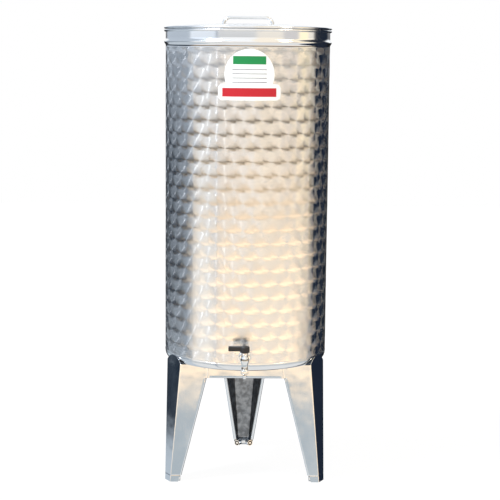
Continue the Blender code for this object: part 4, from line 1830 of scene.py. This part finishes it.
    def spot_welds(self) -> Surface:
        """Two spot welds on each flange in front of the tab, as shallow round mounds.

        Returns:
            All four mounds as one mesh.
        """
        mound = lens(0.0021, 0.00018, 0.0005).laid_forward()
        welds = None
        for height in (self.height - 0.010, self.height - 0.024):
            edge, face = self.apron_edge(np.array(height))
            for side in (-1, 1):
                one = mound.moved(side * (edge + self.tab * 0.5), AXIS_Y - face, height)
                welds = one if welds is None else welds + one
        return welds

    def build(self) -> None:
        """Make the legs, their foot hems and the aprons, each turned to its place."""
        satin = self.finishes.satin
        leg, hem = self.leg().moved(0, AXIS_Y), self.foot_hem().moved(0, AXIS_Y)
        # the legs' inner skins get the satin finish's painted shade
        inner_from = len(leg.points) // 2
        turns = (("front_left", -self.spread), ("front_right", self.spread), ("back", math.pi))
        for where, angle in turns:
            folded, rolled = leg.turned(angle + self.turn), hem.turned(angle + self.turn)
            piece, node = f"folded_leg_{where}", f"leg_{where}"
            add_piece(piece, folded, satin, Body.BARREL, (node,), 50, inner_from)
            piece, node = f"foot_roll_{where}", f"foot_hem_{where}"
            add_piece(piece, rolled, satin, Body.BARREL, (node,))
        apron = self.apron_face() + self.apron_end(1.0) + self.apron_end(-1.0) + self.spot_welds()
        for where, angle in (("front", 0.0), ("right", 2 * self.spread), ("left", -2 * self.spread)):
            piece = f"hemmed_apron_{where}"
            strip = apron.turned(angle + self.turn)
            add_piece(piece, strip, satin, Body.BARREL, (f"apron_{where}",))


@dataclass
class Label:
    """A plain printed label that follows the wall: a round head on a wider foot.

    Attributes:
        finishes: the shared finishes.
        width: its foot's width along the wall.
        height: its whole height.
        foot: its lower edge above the seam.
        foot_height: its foot's height.
        head: the round head's radius.
        corner: the radius of the foot's corners.
        aside: how far its middle stands right of the front.
        thickness: the film's thickness.
        radius: the wall's radius.
    """

    finishes: Finishes
    width: float = 0.148
    height: float = 0.118
    foot: float = 0.6395
    foot_height: float = 0.038
    head: float = 0.0585
    corner: float = 0.011
    aside: float = 0.005
    thickness: float = 0.0002
    radius: float = 0.2001

    def half_width(self, up: np.ndarray) -> np.ndarray:
        """Half the film's width at a height above its foot.

        The foot is a bar whose corners follow quarter circles, and the head is a circle that
        touches the film's upper edge. The wider one of the two counts.

        Args:
            up: heights above the label's lower edge.

        Returns:
            Half the width at each height.
        """
        corner = self.corner
        near_end = np.minimum(up, self.foot_height - up)
        short = np.clip(corner - near_end, 0, corner)
        bar = self.width / 2 - corner + np.sqrt(corner ** 2 - short ** 2)
        bar = np.where(near_end < 0, 0, bar)
        above = up - (self.height - self.head)
        circle = np.sqrt(np.clip(self.head ** 2 - above ** 2, 0, None))
        return np.maximum(bar, circle)

    def build(self) -> None:
        """Make the label: rows of shares of its width at each height, rolled onto the wall."""
        even = np.linspace(-1, 1, 81)
        up = (np.sin(even * np.pi / 2) + 1) / 2 * self.height
        shoulder = np.linspace(self.foot_height - self.corner, self.foot_height + 0.001, 16)
        up = np.sort(np.concatenate([up, shoulder]))
        flat = np.linspace(-1, 1, 61)[None, :] * self.half_width(up)[:, None]
        angle = (flat + self.aside) / self.radius
        z = SEAM + self.foot + up[:, None]
        skins = []
        for rise in (self.thickness, -self.thickness):
            x = (self.radius + rise) * np.sin(angle)
            y = AXIS_Y - (self.radius + rise) * np.cos(angle)
            skins.append(np.stack(np.broadcast_arrays(x, y, z), -1))
        film = sheet(skins[0], skins[1])
        piece = add_piece("blank_label", film, self.finishes.label, Body.BARREL)
        self.map_print(piece)

    def map_print(self, piece: bpy.types.Object) -> None:
        """Unroll the film into its UV map.

        Args:
            piece: the label's object.
        """
        mesh = piece.data
        points = np.empty(len(mesh.vertices) * 3)
        mesh.vertices.foreach_get("co", points)
        points = points.reshape(-1, 3)
        angle = np.arctan2(points[:, 0], AXIS_Y - points[:, 1])
        u = (angle * self.radius - self.aside) / self.width + 0.5
        v = (points[:, 2] - SEAM - self.foot) / self.height
        corners = np.empty(len(mesh.loops), dtype=np.int32)
        mesh.loops.foreach_get("vertex_index", corners)
        layer = mesh.uv_layers.new(name="label")
        layer.data.foreach_set("uv", np.stack([u, v], 1)[corners].ravel())


# Studio


@dataclass(frozen=True)
class Panel:
    """A soft patch of light or shade in the surroundings, seen in the metal.

    Attributes:
        azimuth: its middle, in degrees from the camera's side towards +X.
        elevation: its middle, in degrees above the horizon.
        half_width: half its width in degrees.
        half_height: half its height in degrees.
        soft: the width of its soft edge in degrees.
        colour: its light.
    """

    azimuth: float
    elevation: float
    half_width: float
    half_height: float
    soft: float
    colour: tuple[float, float, float]

    def share(self, graph: Graph, azimuth: Wire, elevation: Wire) -> Wire:
        """How much of the panel a direction sees.

        Args:
            graph: the world's node tree.
            azimuth: the direction's azimuth in degrees.
            elevation: its elevation in degrees.

        Returns:
            One inside the panel, falling to zero over its soft edge.
        """
        turned = ((azimuth - self.azimuth) / 360.0 + 0.5).fraction() - 0.5
        aside = turned.absolute() * 360.0
        above = (elevation - self.elevation).absolute()
        soft = self.soft / 2
        wide = graph.spread(aside, self.half_width - soft, self.half_width + soft, 1.0, 0.0)
        tall = graph.spread(above, self.half_height - soft, self.half_height + soft, 1.0, 0.0)
        return wide * tall


@dataclass
class Studio:
    """The floor, the surroundings and the camera.

    Attributes:
        camera_place: the camera's place.
        pitch: how far the camera looks down, in degrees.
        roll: how far it is rolled, in degrees.
        focal: its focal length in millimetres.
        sensor: its sensor's width in millimetres.
        backdrop: the white that the camera sees behind the barrel.
        ambient: the light from everywhere else.
        panels: the surroundings, the later ones in front.
    """

    camera_place: tuple[float, float, float] = (0.0098, -3.3744, 1.0490)
    pitch: float = 8.213
    roll: float = 0.55
    focal: float = 99.15
    sensor: float = 36.0
    backdrop: tuple[float, float, float] = (1.0, 1.0, 1.0)
    ambient: tuple[float, float, float] = (0.012, 0.014, 0.018)
    panels: tuple[Panel, ...] = (
        Panel(-118, 0, 36, 95, 6, (0.024, 0.036, 0.055)),  # left shade
        Panel(180, 47, 50, 45, 6, (1.05, 1.08, 1.12)),  # pale light from behind
        Panel(-118, 45, 36, 46, 4, (0.56, 0.64, 0.74)),  # pale light over the left shade
        Panel(-118, -51.4, 36, 38.6, 1.5, (0.62, 0.70, 0.78)),  # pale ground on the left
        Panel(124, 0, 24, 95, 6, (0.016, 0.024, 0.042)),  # right shade
        Panel(9, 45, 95, 45, 5, (1.15, 1.17, 1.19)),  # broad front light
        Panel(58, 45, 46, 45, 8, (1.20, 1.10, 0.94)),  # warmer front light on the right
        Panel(-64, 45, 22, 45, 6, (1.02, 1.13, 1.28)),  # cooler front light on the left
        Panel(62, 22, 12, 28, 4, (0.78, 0.76, 0.76)),  # soft grey patch in it
        Panel(84, 10, 8, 100, 4, (1.40, 1.22, 0.86)),  # yellow streak on the right
        Panel(11, -11.7, 91, 5.8, 0.8, (1.70, 1.34, 0.96)),  # warm ground
        Panel(-62, -11.7, 18, 5.8, 12, (1.45, 1.36, 1.22)),  # paler ground on the left
        Panel(95, -12.9, 13, 2.4, 3, (0.46, 0.46, 0.47)),  # grey ground on the right
        Panel(9, -20.7, 95, 3.2, 0.8, (0.56, 0.63, 0.68)),  # cool grey ground further in
        Panel(9, -56.9, 95, 33.1, 2, (0.94, 0.95, 0.95)),  # pale floor
        Panel(9, -3.2, 95, 2.4, 2.4, (0.26, 0.21, 0.15)),  # dim line at the horizon
        Panel(-43.4, 0, 0.9, 60, 0.8, (0.12, 0.18, 0.30)),  # thin dark upright
        Panel(-62, 50, 7, 7, 4, (80.0, 84.0, 90.0)),  # strong cool lamp
        Panel(66, 46, 6, 6, 4, (24.0, 21.0, 17.0)),  # strong warm lamp
    )

    def camera(self) -> None:
        """Place the camera where the photograph was taken from."""
        data = bpy.data.cameras.new("camera")
        data.sensor_width = self.sensor
        data.lens = self.focal
        item = bpy.data.objects.new("camera", data)
        bpy.context.scene.collection.objects.link(item)
        pitch = Matrix.Rotation(math.radians(90 - self.pitch), 4, "X")
        roll = Matrix.Rotation(math.radians(self.roll), 4, "Z")
        item.matrix_world = Matrix.Translation(self.camera_place) @ pitch @ roll
        bpy.context.scene.camera = item

    def surroundings(self) -> None:
        """Light the barrel from all round, and show the camera plain white behind it."""
        world = bpy.data.worlds.new("surroundings")
        world.use_nodes = True
        bpy.context.scene.world = world
        graph = Graph(world.node_tree)
        x, y, z = graph.split(Wire(graph, graph.node("ShaderNodeTexCoord").outputs["Generated"]))
        degrees = 180 / math.pi
        azimuth = graph.maths("ARCTAN2", x, y * -1.0) * degrees
        elevation = graph.maths("ARCSINE", z) * degrees
        colour = (*self.ambient, 1)
        for panel in self.panels:
            colour = graph.tint(panel.share(graph, azimuth, elevation), colour, (*panel.colour, 1))
        sight = Wire(graph, graph.node("ShaderNodeLightPath").outputs["Is Camera Ray"])
        seen = graph.tint(sight, colour, (*self.backdrop, 1))
        background = world.node_tree.nodes["Background"]
        graph.feed(background.inputs["Color"], seen)

    def floor(self) -> None:
        """A wide pale floor, bright enough to run into the backdrop."""
        span = np.linspace(-6, 6, 5)
        x, y = np.meshgrid(span, span)
        grid = np.stack([x, y + AXIS_Y, np.zeros_like(x)], -1)
        mesh = bpy.data.meshes.new("floor")
        surface = grid_surface(grid, False, False)
        mesh.from_pydata(surface.points.tolist(), [], surface.faces.tolist())
        material, graph, shader = blank_material("pale_floor")
        shade = graph.noise(graph.place(), 0.8, 2.0)
        colour = graph.tint(shade, (0.05, 0.05, 0.05, 1), (0.06, 0.06, 0.06, 1))
        graph.feed(shader.inputs["Base Color"], colour)
        shader.inputs["Roughness"].default_value = 0.8
        shader.inputs["Specular IOR Level"].default_value = 0.0
        shader.inputs["Emission Color"].default_value = (1, 1, 1, 1)
        shader.inputs["Emission Strength"].default_value = 0.95
        mesh.materials.append(material)
        item = bpy.data.objects.new("floor", mesh)
        bpy.context.scene.collection.objects.link(item)
        item.visible_glossy = False

    def build(self) -> None:
        """Set up the whole studio."""
        self.camera()
        self.surroundings()
        self.floor()
        bpy.context.scene.view_settings.view_transform = "Standard"


def main() -> None:
    """Build the studio and every sub-assembly in turn."""
    logging.basicConfig(level=logging.INFO, format="%(name)s: %(message)s")
    Studio().build()
    finishes = Finishes.make()
    for part in (Barrel(finishes), Lid(finishes), Tap(finishes), Stand(finishes), Label(finishes)):
        LOG.info("building the %s", type(part).__name__.lower())
        part.build()


if __name__ == "__main__":
    main()
